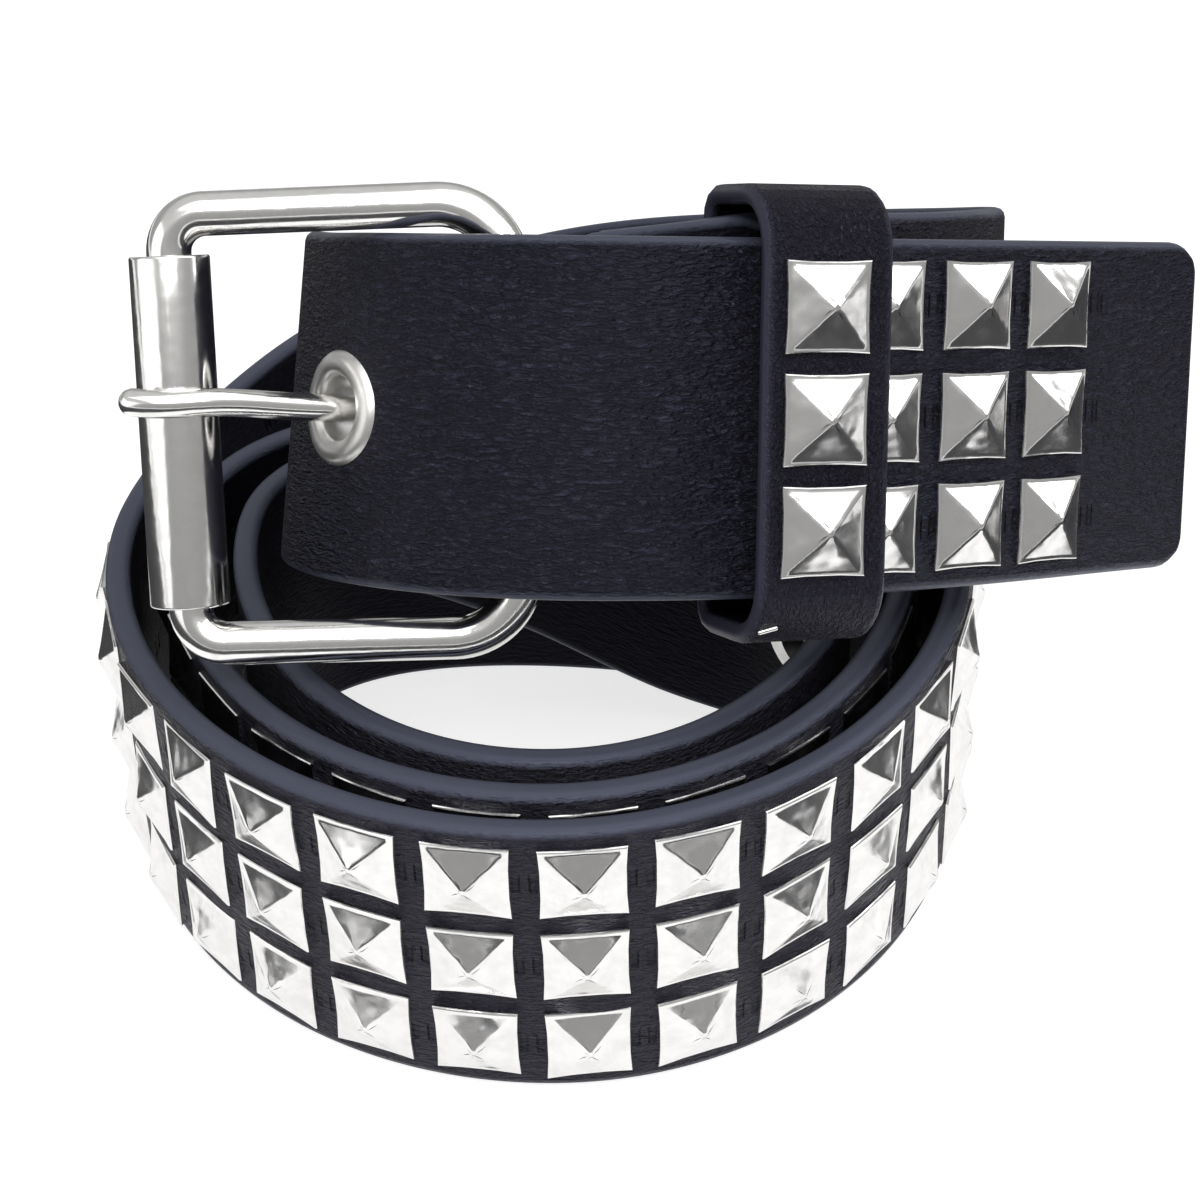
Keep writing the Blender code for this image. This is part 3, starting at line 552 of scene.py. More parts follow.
def buckle_point(towards, up):
    axes = buckle_axes()
    return loop_point(*HEEL) + towards * axes[0] + (up - BUCKLE_DROP) * axes[1]


def corner(centre, radius, start, steps):
    """A quarter circle of this many points, from this many degrees on."""
    angles = np.radians(np.linspace(start, start + 90, steps))
    return [(centre[0] + radius * math.cos(a), centre[1] + radius * math.sin(a)) for a in angles]


def prong_line():
    """(points, radii) from the eye round the heel bar, out through the hole and over the roller."""
    towards, up, out = buckle_axes()
    eye = WIRE / 2 + FIT_GAP + PRONG_EYE_WIRE / 2
    slim = PRONG_EYE_WIRE / PRONG_WIRE
    start = buckle_point(0, BUCKLE_DROP)
    points, radii = [], []
    for angle in np.linspace(PRONG_EYE_START, PRONG_EYE_END, PRONG_EYE_STEPS):
        points.append(start + eye * (math.cos(angle) * towards + math.sin(angle) * out))
        radii.append(slim)
    hole = ROUTE.place(eyelet_lengths()[0])
    middle = buckle_point(BUCKLE_SPAN, PRONG_RISE)
    lift = ROLLER_DIAMETER / 2 + 2 * FIT_GAP + PRONG_WIRE / 2
    ahead, above = (middle - hole) @ towards, (middle - hole) @ out
    climb = math.atan2(above, ahead) + math.asin(lift / math.hypot(ahead, above))
    touch = middle + lift * (math.cos(climb) * out - math.sin(climb) * towards)
    through = unit(touch - hole)
    before, after = hole - EYELET_HOLE / 2 * through, hole + EYELET_HOLE * through
    over = middle + lift * out
    tip = over + PRONG_OVERHANG * (towards + PRONG_TIP_SLOPE * (up - out))
    rows = [(*points[-1], slim), (*(points[-1] + WIRE / 2 * towards), slim)]
    rows += [(*point, 1) for point in (before, hole, after, touch, over, tip)]
    bend = smooth_through(rows, PRONG_STEPS)
    points += [row[:3] for row in bend[1:]]
    radii += [row[3] for row in bend[1:]]
    return points, radii


def keeper_outline(half_height, half_depth, inset, steps):
    """Its outline across and out, this far inside the outer one: wide bends in front, tight ones behind."""
    front, back = KEEPER_BEND - inset, KEEPER_CORNER - inset
    outline = corner((half_height - front, half_depth - front), front, 0, steps)
    outline += corner((front - half_height, half_depth - front), front, 90, steps)
    outline += corner((back - half_height, back - half_depth), back, 180, steps)
    outline += corner((half_height - back, back - half_depth), back, 270, steps)
    return outline


def keeper_place():
    """(matrix, half height, half depth): the keeper's middle and its hollow, local x along the strap."""
    stack = OWN_BEHIND + STRAP_THICKNESS / 2
    front = STUD_HEIGHT + 2 * FIT_GAP
    point, along = TAIL.at(KEEPER_LENGTH, (stack + 2 * LAYER_GAP - front) / 2)
    height = STRAP_WIDTH + KEEPER_RISE + KEEPER_SIDE_GAP + LAYER_GAP
    rise = (KEEPER_RISE + LAYER_GAP - KEEPER_SIDE_GAP) / 2
    along = loop_point(*along) - loop_point(0, 0)
    out = unit(np.cross(along, width_direction(LOOP_TILT, KEEPER_LEAN)))
    turn = turned_to(along, np.cross(out, along), out)
    middle = Matrix.Translation(Vector(loop_point(*point, rise)))
    return middle @ turn, height / 2, (stack + 2 * LAYER_GAP + front) / 2


roller_low, roller_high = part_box("roller")
SHIFT = (roller_low + roller_high) / 2 - Vector(buckle_point(BUCKLE_SPAN, 0))
TO_FRAME = Matrix.Translation(SHIFT)


# Hand tools


def pick(*objects):
    """Deselects everything, then selects these, the last one active."""
    bpy.ops.object.select_all(action="DESELECT")
    for obj in objects:
        obj.select_set(True)
        bpy.context.view_layer.objects.active = obj


def named(name):
    obj = bpy.context.object
    obj.name = name
    obj.data.name = name
    return obj


def edit(obj):
    pick(obj)
    bpy.ops.object.mode_set(mode="EDIT")


def choose(kind, action):
    bpy.ops.mesh.select_mode(type=kind)
    bpy.ops.mesh.select_all(action=action)


def done():
    bpy.ops.object.mode_set(mode="OBJECT")


def settle(obj):
    """Puts the object at the origin, with its place in its mesh."""
    pick(obj)
    bpy.ops.object.transform_apply(location=True, rotation=True, scale=True)


def modifier(obj, kind, **settings):
    pick(obj)
    added = obj.modifiers.new(kind, kind)
    for name, value in settings.items():
        setattr(added, name, value)
    bpy.ops.object.modifier_apply(modifier=added.name)


def outward(obj, merge=MERGE_WITHIN):
    edit(obj)
    bpy.ops.mesh.select_all(action="SELECT")
    bpy.ops.mesh.remove_doubles(threshold=merge)
    bpy.ops.mesh.normals_make_consistent(inside=False)
    done()


def smooth(obj, angle=SMOOTH_ANGLE):
    pick(obj)
    bpy.ops.object.shade_smooth_by_angle(angle=math.radians(angle))


def points_of(obj):
    found = np.empty(len(obj.data.vertices) * 3)
    obj.data.vertices.foreach_get("co", found)
    return found.reshape(-1, 3)


def move_points(obj, points):
    obj.data.vertices.foreach_set("co", np.asarray(points).ravel())
    obj.data.update()


def dress(obj, finish):
    obj.data.materials.clear()
    obj.data.materials.append(finish)


def finished(obj, finish, node, body="belt", angle=SMOOTH_ANGLE):
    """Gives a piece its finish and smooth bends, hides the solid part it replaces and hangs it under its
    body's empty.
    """
    dress(obj, finish)
    smooth(obj, angle)
    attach(obj, body)
    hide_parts(node)


def wind(obj, start=0.0):
    """Lays a flat piece on the strap's route, this far along it."""
    points = points_of(obj) + (start, 0, 0)
    move_points(obj, ROUTE.place(*points.T) + np.array(SHIFT))


def joined(name, objects):
    pick(*objects)
    if len(objects) > 1:
        bpy.ops.object.join()
    obj = named(name)
    settle(obj)
    return obj


def wobbled(places):
    """Each stud was pressed in by hand, so it leans a little its own way."""
    lean = np.random.default_rng(STUD_SEED).normal(0, STUD_WOBBLE, (len(places), 2))
    return [
        place @ Matrix.Rotation(first, 4, "X") @ Matrix.Rotation(second, 4, "Y")
        for place, (first, second) in zip(places, lean)
    ]


def copies(model, places, name):
    """One mesh that holds a copy of the model at each place."""
    made = []
    for place in places:
        twin = model.copy()
        twin.data = model.data.copy()
        bpy.context.scene.collection.objects.link(twin)
        twin.matrix_world = TO_FRAME @ place
        made.append(twin)
    return joined(name, made)


def keep_flat(obj, rim):
    """Notes where each point lay on the flat piece, and how far it is on the cut edge, for the pattern."""
    flat = obj.data.attributes.new("flat", "FLOAT_VECTOR", "POINT")
    flat.data.foreach_set("vector", points_of(obj).ravel())
    edge = obj.data.attributes.new("cut_edge", "FLOAT", "POINT")
    edge.data.foreach_set("value", rim)


# Leather


def band(name, lengths, width, thickness, rounding):
    """A flat band with rounded long edges, cut across at each of these lengths, with open ends."""
    bpy.ops.mesh.primitive_cube_add(size=1)
    obj = named(name)
    obj.scale = (1, width, thickness)
    settle(obj)
    edit(obj)
    choose("EDGE", "DESELECT")
    done()
    for edge in obj.data.edges:
        first, second = (obj.data.vertices[i].co for i in edge.vertices)
        edge.select = abs(first.x - second.x) > 0.5
    edit(obj)
    bpy.ops.mesh.bevel(offset=rounding, segments=EDGE_STEPS, profile=0.5, affect="EDGES")
    inner = width / 2 - CUTS_INSIDE_EDGE * rounding
    for share in CUTS_ACROSS:
        bpy.ops.mesh.select_all(action="SELECT")
        bpy.ops.mesh.bisect(plane_co=(0, share * inner, 0), plane_no=(0, 1, 0))
    choose("FACE", "DESELECT")
    done()
    for face in obj.data.polygons:
        face.select = abs(face.normal.x) > 0.9
    edit(obj)
    bpy.ops.mesh.delete(type="FACE")
    done()
    modifier(
        obj, "ARRAY", count=len(lengths) - 1, relative_offset_displace=(1, 0, 0),
        use_merge_vertices=True, merge_threshold=1e-5,
    )
    points = points_of(obj)
    points[:, 0] = np.asarray(lengths)[np.rint(points[:, 0] + 0.5).astype(int)]
    move_points(obj, points)
    return obj


def close_ends(obj):
    edit(obj)
    choose("EDGE", "DESELECT")
    bpy.ops.mesh.select_non_manifold(extend=False, use_boundary=True, use_wire=False, use_multi_face=False)
    bpy.ops.mesh.edge_face_add()
    done()


def painted(inwards, start, end):
    """How much of the edge's paint is on points this far inside it: 1 on the cut edge and 0 on the face."""
    return 1 - np.clip((inwards - start) / (end - start), 0, 1)


def end_lengths(total):
    """Where the strap is cut across: evenly, and closer by its ends, for their rounding and the tip."""
    quarter = np.linspace(0, math.pi / 2, END_STEPS)
    rounding, corners = EDGE_ROUND * (1 - np.cos(quarter)), TIP_CORNER * (1 - np.cos(quarter[2:]))
    ends = np.sort(np.concatenate([rounding, corners]))
    middle = np.linspace(TIP_CORNER + SLICE, total - TIP_CORNER - SLICE, int(total / SLICE))
    return np.concatenate([ends, middle, total - ends[::-1]])


def shaped(points, total):
    """The flat strap's points with its true width and thickness: thin flap, narrow fold, rounded tip."""
    length = points[:, 0]
    widths = half_width(length)
    to_tip = np.clip(TIP_CORNER - (total - length), 0, TIP_CORNER)
    widths -= TIP_CORNER - np.sqrt(TIP_CORNER**2 - to_tip**2)
    to_end = np.clip(EDGE_ROUND - np.minimum(length, total - length), 0, EDGE_ROUND)
    pulled = EDGE_ROUND - np.sqrt(EDGE_ROUND**2 - to_end**2)
    half = STRAP_WIDTH / 2
    inner = half - EDGE_ROUND
    core = np.minimum(abs(points[:, 1]), inner) * (widths - pulled - EDGE_ROUND) / inner
    rounding = np.maximum(abs(points[:, 1]) - inner, 0)
    thick = thickness(length) / STRAP_THICKNESS
    shape = points.copy()
    shape[:, 1] = np.sign(points[:, 1]) * (core + rounding)
    shape[:, 2] = points[:, 2] * thick * (1 - 2 * pulled / STRAP_THICKNESS)
    return shape


def cut(obj, cutter):
    modifier(obj, "BOOLEAN", operation="DIFFERENCE", solver="EXACT", object=cutter)
    bpy.data.objects.remove(cutter, do_unlink=True)


def make_strap(leather):
    total = ROUTE.total
    strap = band("strap_leather", end_lengths(total), STRAP_WIDTH, STRAP_THICKNESS, EDGE_ROUND)
    move_points(strap, shaped(points_of(strap), total))
    close_ends(strap)
    outward(strap)
    bore = EYELET_HOLE / 2 + EYELET_WALL + PUNCH_CLEARANCE
    for length in eyelet_lengths():
        bpy.ops.mesh.primitive_cylinder_add(
            vertices=PUNCH_SIDES, radius=bore, depth=PUNCH_DEPTH, location=(length, 0, 0)
        )
        cut(strap, named("punch"))
    bpy.ops.mesh.primitive_cube_add(size=1, location=(FOLD_LENGTH, -BUCKLE_DROP, 0))
    slot = named("punch")
    slot.scale = (SLOT_LENGTH, PRONG_WIRE + 2 * SLOT_CLEARANCE, PUNCH_DEPTH)
    cut(strap, slot)
    points = points_of(strap)
    edge = half_width(points[:, 0]) - abs(points[:, 1])
    ends = np.minimum(points[:, 0], total - points[:, 0])
    keep_flat(strap, painted(np.minimum(edge, ends), *EDGE_PAINT))
    wind(strap)
    finished(strap, leather, "strap")


# Studs


def stud_outline():
    """A square with drawn-out corners and pulled-in sides, as points by share of half its side."""
    one_side = (
        (1 + STUD_CORNER, -1 - STUD_CORNER),
        (1 - STUD_WAIST, -STUD_WAIST_REACH),
        (1 - STUD_WAIST, STUD_WAIST_REACH),
    )
    turns = [Matrix.Rotation(side * math.pi / 2, 3, "Z") for side in range(4)]
    return [turn @ Vector((out, along, 0)) for turn in turns for out, along in one_side]


def soften_ridges(stud):
    """Rounds the four ridges that run up from the corners of the rim to the point."""
    for edge in stud.data.edges:
        ends = [stud.data.vertices[i].co for i in edge.vertices]
        on_ridge = all(abs(abs(end.x) - abs(end.y)) < DIAGONAL_WITHIN for end in ends)
        edge.select = on_ridge and min(end.z for end in ends) > RIDGE_FOOT
    edit(stud)
    bpy.ops.mesh.bevel(offset=STUD_RIDGE, segments=2, affect="EDGES")
    done()


def stud_model():
    """A stamped square stud: skirt, rolled rim and dished sides up to its point."""
    half = STUD_SIDE / 2
    outline = stud_outline()
    bpy.ops.mesh.primitive_circle_add(vertices=len(outline), radius=half, fill_type="NGON")
    stud = named("stud_model")
    (_, wide, high), *rest = STUD_PROFILE
    move_points(stud, [point * half * wide + Vector((0, 0, high * STUD_HEIGHT)) for point in outline])
    edit(stud)
    choose("VERT", "SELECT")
    for _, next_wide, next_high in rest:
        rise = (next_high - high) * STUD_HEIGHT
        bpy.ops.mesh.extrude_region_move(TRANSFORM_OT_translate={"value": (0, 0, rise)})
        share = next_wide / wide
        bpy.ops.transform.resize(value=(share, share, 1))
        wide, high = next_wide, next_high
    rise = (1 - high) * STUD_HEIGHT
    bpy.ops.mesh.extrude_region_move(TRANSFORM_OT_translate={"value": (0, 0, rise)})
    bpy.ops.mesh.merge(type="CENTER")
    done()
    soften_ridges(stud)
    outward(stud)
    smooth(stud, STUD_SMOOTH)
    return stud


def tip_columns():
    last = ROUTE.total - TIP_MARGIN - STUD_SIDE / 2
    return [last - (TIP_COLUMNS - 1 - column) * COLUMN_PITCH for column in range(TIP_COLUMNS)]


def on_strap(length, across):
    return ROUTE.matrix(length, across, STRAP_THICKNESS / 2, STUD_SIDE / 2)


def make_studs(nickel):
    model = stud_model()
    places = wobbled([on_strap(x, y) for x in field_columns() for y in stud_rows()])
    studs = [("field_studs", "strap", places)]
    for column, x in enumerate(tip_columns()):
        for row, y in enumerate(stud_rows()):
            name = f"tip_stud_{column + 1}_{row + 1}"
            studs.append((name + "_nickel", name, [on_strap(x, y)]))
    matrix, _, depth = keeper_place()
    for row, y in enumerate(stud_rows(KEEPER_STUD_PITCH)):
        name = f"keeper_stud_{row + 1}"
        place = matrix @ Matrix.Translation((KEEPER_STUD_SHIFT, y, depth + KEEPER_THICKNESS))
        studs.append((name + "_nickel", name, [place]))
    for name, node, places in studs:
        finished(copies(model, places, name), nickel, node, angle=STUD_SMOOTH)
    bpy.data.objects.remove(model, do_unlink=True)


# Eyelets


def spun(name, outline, steps):
    """A ring: a closed outline of (radius, height) spun round Z."""
    bpy.ops.mesh.primitive_circle_add(vertices=len(outline), radius=1, fill_type="NOTHING")
    obj = named(name)
    move_points(obj, [(radius, 0, height) for radius, height in outline])
    edit(obj)
    bpy.ops.mesh.select_all(action="SELECT")
    bpy.ops.mesh.spin(steps=steps, angle=2 * math.pi, center=(0, 0, 0), axis=(0, 0, 1))
    done()
    outward(obj)
    return obj


def eyelet_outline():
    """Flat washer on the flesh side, barrel, and a rolled, crowned flange on the grain side."""
    face, hole = STRAP_THICKNESS / 2, EYELET_HOLE / 2
    wall, rim = hole + EYELET_WALL, EYELET_FLANGE / 2
    crown = EYELET_CROWN + FIT_GAP
    middle, half = (hole + rim) / 2, (rim - hole) / 2
    back = -face - FIT_GAP - EYELET_WALL
    outline = [(hole, back), (rim - EYELET_WALL, back)]
    outline += [(rim - EYELET_WALL, -face), (wall, -face), (wall, face), (rim, face)]
    for angle in np.linspace(*FLANGE_ARC, FLANGE_STEPS) * math.pi:
        rise = FLANGE_HEIGHT * crown * (1 - abs(math.cos(angle)) ** FLANGE_FLATNESS)
        outline.append((middle + half * math.cos(angle), face + rise))
    return outline + [(hole, face - FLANGE_SUNK * crown)]


def make_eyelets(satin):
    for number, length in enumerate(eyelet_lengths(), start=1):
        eyelet = spun(f"eyelet_{number}_satin", eyelet_outline(), EYELET_SIDES)
        wind(eyelet, length)
        finished(eyelet, satin, f"eyelet_{number}")


# Buckle


def wire(name, points, diameter, cyclic=False, radii=None):
    """A round wire bent through these points, as a closed mesh."""
    bpy.ops.curve.primitive_nurbs_path_add()
    obj = named(name)
    curve = obj.data
    curve.splines.clear()
    curve.dimensions = "3D"
    curve.bevel_depth = diameter / 2
    curve.bevel_resolution = WIRE_STEPS
    curve.use_fill_caps = True
    line = curve.splines.new("POLY")
    line.points.add(len(points) - 1)
    for i, point in enumerate(points):
        line.points[i].co = (*point, 1)
        line.points[i].radius = 1 if radii is None else radii[i]
    line.use_cyclic_u = cyclic
    line.use_smooth = True
    pick(obj)
    bpy.ops.object.convert(target="MESH")
    obj.data.transform(TO_FRAME)
    outward(obj)
    return obj


def rounded_end(points, radii, diameter):
    """Gives the end of a wire a dome: points whose radius falls to almost nothing."""
    tip = np.asarray(points[-1])
    kept = [np.asarray(point) for point in points if np.linalg.norm(point - tip) > DOME_REACH * diameter]
    radii = list(radii[: len(kept)])
    ahead = unit(tip - kept[-1])
    end = tip - ahead * diameter / 2
    for angle in np.linspace(0, math.pi / 2, DOME_STEPS + 1):
        kept.append(end + ahead * math.sin(angle) * diameter / 2)
        radii.append(max(math.cos(angle), DOME_TIP))
    return kept, radii


def make_frame(nickel):
    half = (BUCKLE_WINDOW + WIRE) / 2
    heel, roller = HEEL_CORNER, ROLLER_CORNER
    outline = corner((BUCKLE_SPAN - roller, half - roller), roller, 0, ROLLER_CORNER_STEPS)
    outline += corner((heel, half - heel), heel, 90, HEEL_CORNER_STEPS)
    outline += corner((heel, heel - half), heel, 180, HEEL_CORNER_STEPS)
    outline += corner((BUCKLE_SPAN - roller, roller - half), roller, 270, ROLLER_CORNER_STEPS)
    bars = wire("buckle_frame_nickel", [buckle_point(*point) for point in outline], WIRE, cyclic=True)
    finished(bars, nickel, "buckle_frame")


def make_roller(nickel):
    """A plain tube with softened ends, round the outer bar of the buckle."""
    half = (BUCKLE_WINDOW + WIRE) / 2 - ROLLER_CORNER - FIT_GAP
    bore, outside = WIRE / 2 + FIT_GAP, ROLLER_DIAMETER / 2
    middle = (outside - ROLLER_EDGE, half - ROLLER_EDGE)
    outline = [(outside - ROLLER_LIP, -half)]
    outline += corner((middle[0], -middle[1]), ROLLER_EDGE, 270, ROLLER_EDGE_STEPS)
    outline += corner(middle, ROLLER_EDGE, 0, ROLLER_EDGE_STEPS)
    outline += [(outside - ROLLER_LIP, half), (bore, half - ROLLER_LIP), (bore, ROLLER_LIP - half)]
    tube = spun("roller_nickel", outline, ROLLER_SIDES)
    towards, up, out = buckle_axes()
    bar = Matrix.Translation(Vector(buckle_point(BUCKLE_SPAN, 0)))
    tube.matrix_world = TO_FRAME @ bar @ turned_to(towards, out, up)
    settle(tube)
    finished(tube, nickel, "roller", body="roller")


def make_prong(nickel):
    points, radii = rounded_end(*prong_line(), PRONG_WIRE)
    finished(wire("prong_nickel", points, PRONG_WIRE, radii=radii), nickel, "prong")


# Keeper


def keeper_path():
    """The keeper's middle line as (height, depth), closed, with its length so far."""
    _, height, depth = keeper_place()
    wall = KEEPER_THICKNESS
    outline = keeper_outline(height + wall / 2, depth + wall / 2, wall / 2, KEEPER_STEPS)
    outline = np.array(outline + outline[:1])
    return outline, lengths_along(outline)


def make_staple(nickel):
    """The short bar of the staple that closes the keeper, on its lower front bend."""
    matrix, height, depth = keeper_place()
    middle = KEEPER_BEND * (1 - math.sqrt(0.5))
    low = KEEPER_THICKNESS + height - middle
    out = KEEPER_THICKNESS + depth - middle
    bpy.ops.mesh.primitive_cylinder_add(vertices=STAPLE_SIDES, radius=STAPLE_WIRE / 2, depth=STAPLE_LENGTH)
    staple = named("keeper_staple")
    modifier(staple, "BEVEL", width=0.4 * STAPLE_WIRE, segments=3, limit_method="ANGLE")
    lie = Matrix.Rotation(math.pi / 2, 4, "Y")
    tilt = Matrix.Rotation(STAPLE_TILT, 4, Vector((0, -1, 1)))
    place = Matrix.Translation((STAPLE_ALONG, -low, out))
    staple.matrix_world = TO_FRAME @ matrix @ place @ tilt @ lie
    settle(staple)
    finished(staple, nickel, "keeper")


def make_keeper(leather):
    outline, lengths = keeper_path()
    total = lengths[-1]
    cuts = np.linspace(0, total, int(total / SLICE))
    keeper = band("keeper_leather", cuts, KEEPER_WIDTH, KEEPER_THICKNESS, KEEPER_EDGE_ROUND)
    points = points_of(keeper)
    keep_flat(keeper, painted(KEEPER_WIDTH / 2 - abs(points[:, 1]), *KEEPER_EDGE_PAINT))
    middle = read_along(points[:, 0], lengths, outline)
    ahead = read_along((points[:, 0] + KEEPER_REACH) % total, lengths, outline)
    behind = read_along((points[:, 0] - KEEPER_REACH) % total, lengths, outline)
    along = (ahead - behind) / np.linalg.norm(ahead - behind, axis=1)[:, None]
    outwards = np.stack([along[:, 1], -along[:, 0]], axis=1)
    ring = middle + outwards * points[:, 2:3]
    place = np.array(TO_FRAME @ keeper_place()[0])
    local = np.stack([points[:, 1], ring[:, 0], ring[:, 1]], axis=1)
    move_points(keeper, local @ place[:3, :3].T + place[:3, 3])
    outward(keeper, KEEPER_MERGE)
    finished(keeper, leather, "keeper")


# Finishes


class Finish:
    """A material and short ways to add and join its nodes."""

    def __init__(self, name):
        self.material = bpy.data.materials.new(name)
        self.material.use_nodes = True
        self.tree = self.material.node_tree
        self.shader = self.tree.nodes["Principled BSDF"]

    def fill(self, socket, value):
        """Joins an input to another node's output, or gives it a fixed value."""
        if isinstance(value, bpy.types.NodeSocket):
            self.tree.links.new(value, socket)
        else:
            socket.default_value = value

    def node(self, kind, settings=(), **inputs):
        made = self.tree.nodes.new(kind)
        for key, value in dict(settings).items():
            setattr(made, key, value)
        for key, value in inputs.items():
            self.fill(made.inputs[int(key[1:]) if key[1:].isdigit() else key.replace("_", " ")], value)
        return made

    def sums(self, operation, first, second=0.0):
        return self.node("ShaderNodeMath", {"operation": operation}, i0=first, i1=second).outputs[0]

    def plus(self, first, second):
        return self.sums("ADD", first, second)

    def minus(self, first, second):
        return self.sums("SUBTRACT", first, second)

    def times(self, first, second):
        return self.sums("MULTIPLY", first, second)

    def spread(self, value, low, high, to_low=0.0, to_high=1.0):
        return self.node(
            "ShaderNodeMapRange", Value=value, From_Min=low, From_Max=high, To_Min=to_low, To_Max=to_high
        ).outputs[0]

    def mix(self, share, first, second):
        made = self.node("ShaderNodeMix", {"data_type": "RGBA"})
        for socket, value in ((0, share), (6, first), (7, second)):
            self.fill(made.inputs[socket], (*value, 1) if isinstance(value, tuple) else value)
        return made.outputs[2]

    def attribute(self, name, output):
        return self.node("ShaderNodeAttribute", {"attribute_name": name}).outputs[output]

    def scaled(self, vector, scale):
        return self.node("ShaderNodeMapping", Vector=vector, Scale=scale).outputs[0]

    def noise(self, vector, scale, detail=2.0, roughness=0.5, distortion=0.0):
        inputs = dict(Vector=vector, Scale=scale, Detail=detail, Roughness=roughness, Distortion=distortion)
        return self.node("ShaderNodeTexNoise", **inputs).outputs[0]

    def bump(self, height, strength, distance):
        return self.node("ShaderNodeBump", Height=height, Strength=strength, Distance=distance).outputs[0]

    def set(self, **values):
        for key, value in values.items():
            self.fill(self.shader.inputs[key.replace("_", " ")], value)


# The leather's relief: the share of each part of its grain, and its depth
RIDGE_SHARE = 0.45
PORE_SHARE = 0.10
SWELL_SHARE = 0.75
RELIEF_DEPTH = 0.00060

# The flesh side: where it fades into the cut edge, how much of the grain it lacks, its color and its sheen
FLESH_FADE = (-0.35 * STRAP_THICKNESS, -0.2 * STRAP_THICKNESS)
FLESH_SMOOTHNESS = 0.85
FLESH_COLOR = (0.0030, 0.0030, 0.0052)
FLESH_ROUGHER = 0.08
FLESH_SHEEN = 0.08

# The grain side's sheen
GRAIN_SHEEN = 0.34
GRAIN_ROUGHNESS = (0.32, 0.48)
SHEEN_TINT = (0.66, 0.68, 0.94, 1)

# How far before and after its start the tail's color takes over
TAIL_FADE = 0.02


def slits(finish, parts, columns, rows):
    """The slits beside the studs, through which their legs go: 1 inside a slit and 0 elsewhere."""
    (first, last), (low, high) = columns, rows
    along = finish.sums("PINGPONG", finish.minus(parts[0], first - COLUMN_PITCH), COLUMN_PITCH / 2)
    across = finish.sums("PINGPONG", finish.minus(parts[1], low - ROW_PITCH), ROW_PITCH / 2)
    beside = finish.sums("ABSOLUTE", finish.minus(along, STUD_SIDE / 2 + SLIT_OUT))
    opened = finish.spread(beside, SLIT_WIDTH / 2, SLIT_WIDTH, 1.0, 0.0)
    opened = finish.times(opened, finish.spread(across, *SLIT_HALF_OPEN, 1.0, 0.0))
    for value, lowest, highest in ((parts[0], first, last), (parts[1], low, high)):
        after = finish.sums("GREATER_THAN", value, lowest - STUD_SIDE)
        before = finish.sums("LESS_THAN", value, highest + STUD_SIDE)
        opened = finish.times(opened, finish.times(after, before))
    return opened


def leather_finish(name, faces, painted_crease_shade, edge_color, creases_per_metre, studded=()):
    """Coated leather: creases drawn out along the strap with painted shade in them, a painted cut edge, a
    smooth, dull flesh side, and black painted shade in the slits beside any studs.
    """
    finish = Finish(name)
    flat = finish.attribute("flat", 1)
    cut_edge = finish.attribute("cut_edge", 2)
    parts = finish.node("ShaderNodeSeparateXYZ", Vector=flat).outputs
    flesh = finish.spread(parts[2], *FLESH_FADE, 1.0, 0.0)
    along, across = creases_per_metre
    drawn_out = finish.scaled(flat, (along, across, across))
    sway = finish.noise(drawn_out, scale=0.55)
    pull = finish.node("ShaderNodeTexNoise", Vector=drawn_out, Scale=0.8, Detail=2.0).outputs[1]
    swayed = finish.node("ShaderNodeVectorMath", {"operation": "ADD"}, i0=drawn_out, i1=pull).outputs[0]
    creases = finish.noise(swayed, scale=1.0, detail=3.0, roughness=0.55, distortion=0.3)
    ridges = finish.spread(finish.sums("ABSOLUTE", finish.minus(creases, 0.5)), 0.0, 0.10)
    swells = finish.spread(finish.noise(drawn_out, scale=1.3, distortion=0.8), 0.36, 0.64)
    pores = finish.noise(flat, scale=5200.0)
    patches = finish.spread(finish.noise(flat, scale=70.0), 0.35, 0.65)

    relief = finish.plus(finish.times(ridges, RIDGE_SHARE), finish.times(pores, PORE_SHARE))
    relief = finish.plus(relief, finish.times(swells, SWELL_SHARE))
    bare = finish.sums("MAXIMUM", cut_edge, finish.times(flesh, FLESH_SMOOTHNESS))
    relief = finish.times(relief, finish.minus(1.0, bare))

    wound, tail = faces
    face = finish.mix(finish.spread(parts[0], TAIL_START - TAIL_FADE, TAIL_START + TAIL_FADE), wound, tail)
    # Painted shade: the crease lines and the low places between swells take the darker crease colour in place
    # of the face colour.
    crest_unshaded = finish.times(finish.plus(finish.times(swells, 0.7), 0.3), ridges)
    tone = finish.mix(crest_unshaded, painted_crease_shade, face)
    tone = finish.mix(finish.times(patches, 0.2), tone, tuple(1.2 * c for c in wound))
    tone = finish.mix(flesh, tone, FLESH_COLOR)
    base = finish.mix(cut_edge, tone, edge_color)
    for columns in studded:
        shaded_slits = slits(finish, parts, columns, (stud_rows()[0], stud_rows()[-1]))
        # Painted shade: each slit is painted black for the shade inside it, and sunk in the relief.
        base = finish.mix(shaded_slits, base, (0.0, 0.0, 0.0))
        relief = finish.minus(relief, finish.times(shaded_slits, SLIT_DEPTH))

    dull = finish.plus(finish.times(patches, 0.3), finish.times(sway, 0.3))
    rough = finish.plus(finish.spread(dull, 0, 0.6, *GRAIN_ROUGHNESS), finish.times(flesh, FLESH_ROUGHER))
    finish.set(
        Base_Color=base,
        Roughness=rough,
        Specular_IOR_Level=finish.spread(flesh, 0.0, 1.0, GRAIN_SHEEN, FLESH_SHEEN),
        Specular_Tint=SHEEN_TINT,
        Normal=finish.bump(relief, 1.0, RELIEF_DEPTH),
    )
    return finish.material


# The metal's waves and scratches
WAVE_DEPTH = 0.0004
SCRATCH_SHARE = 0.012


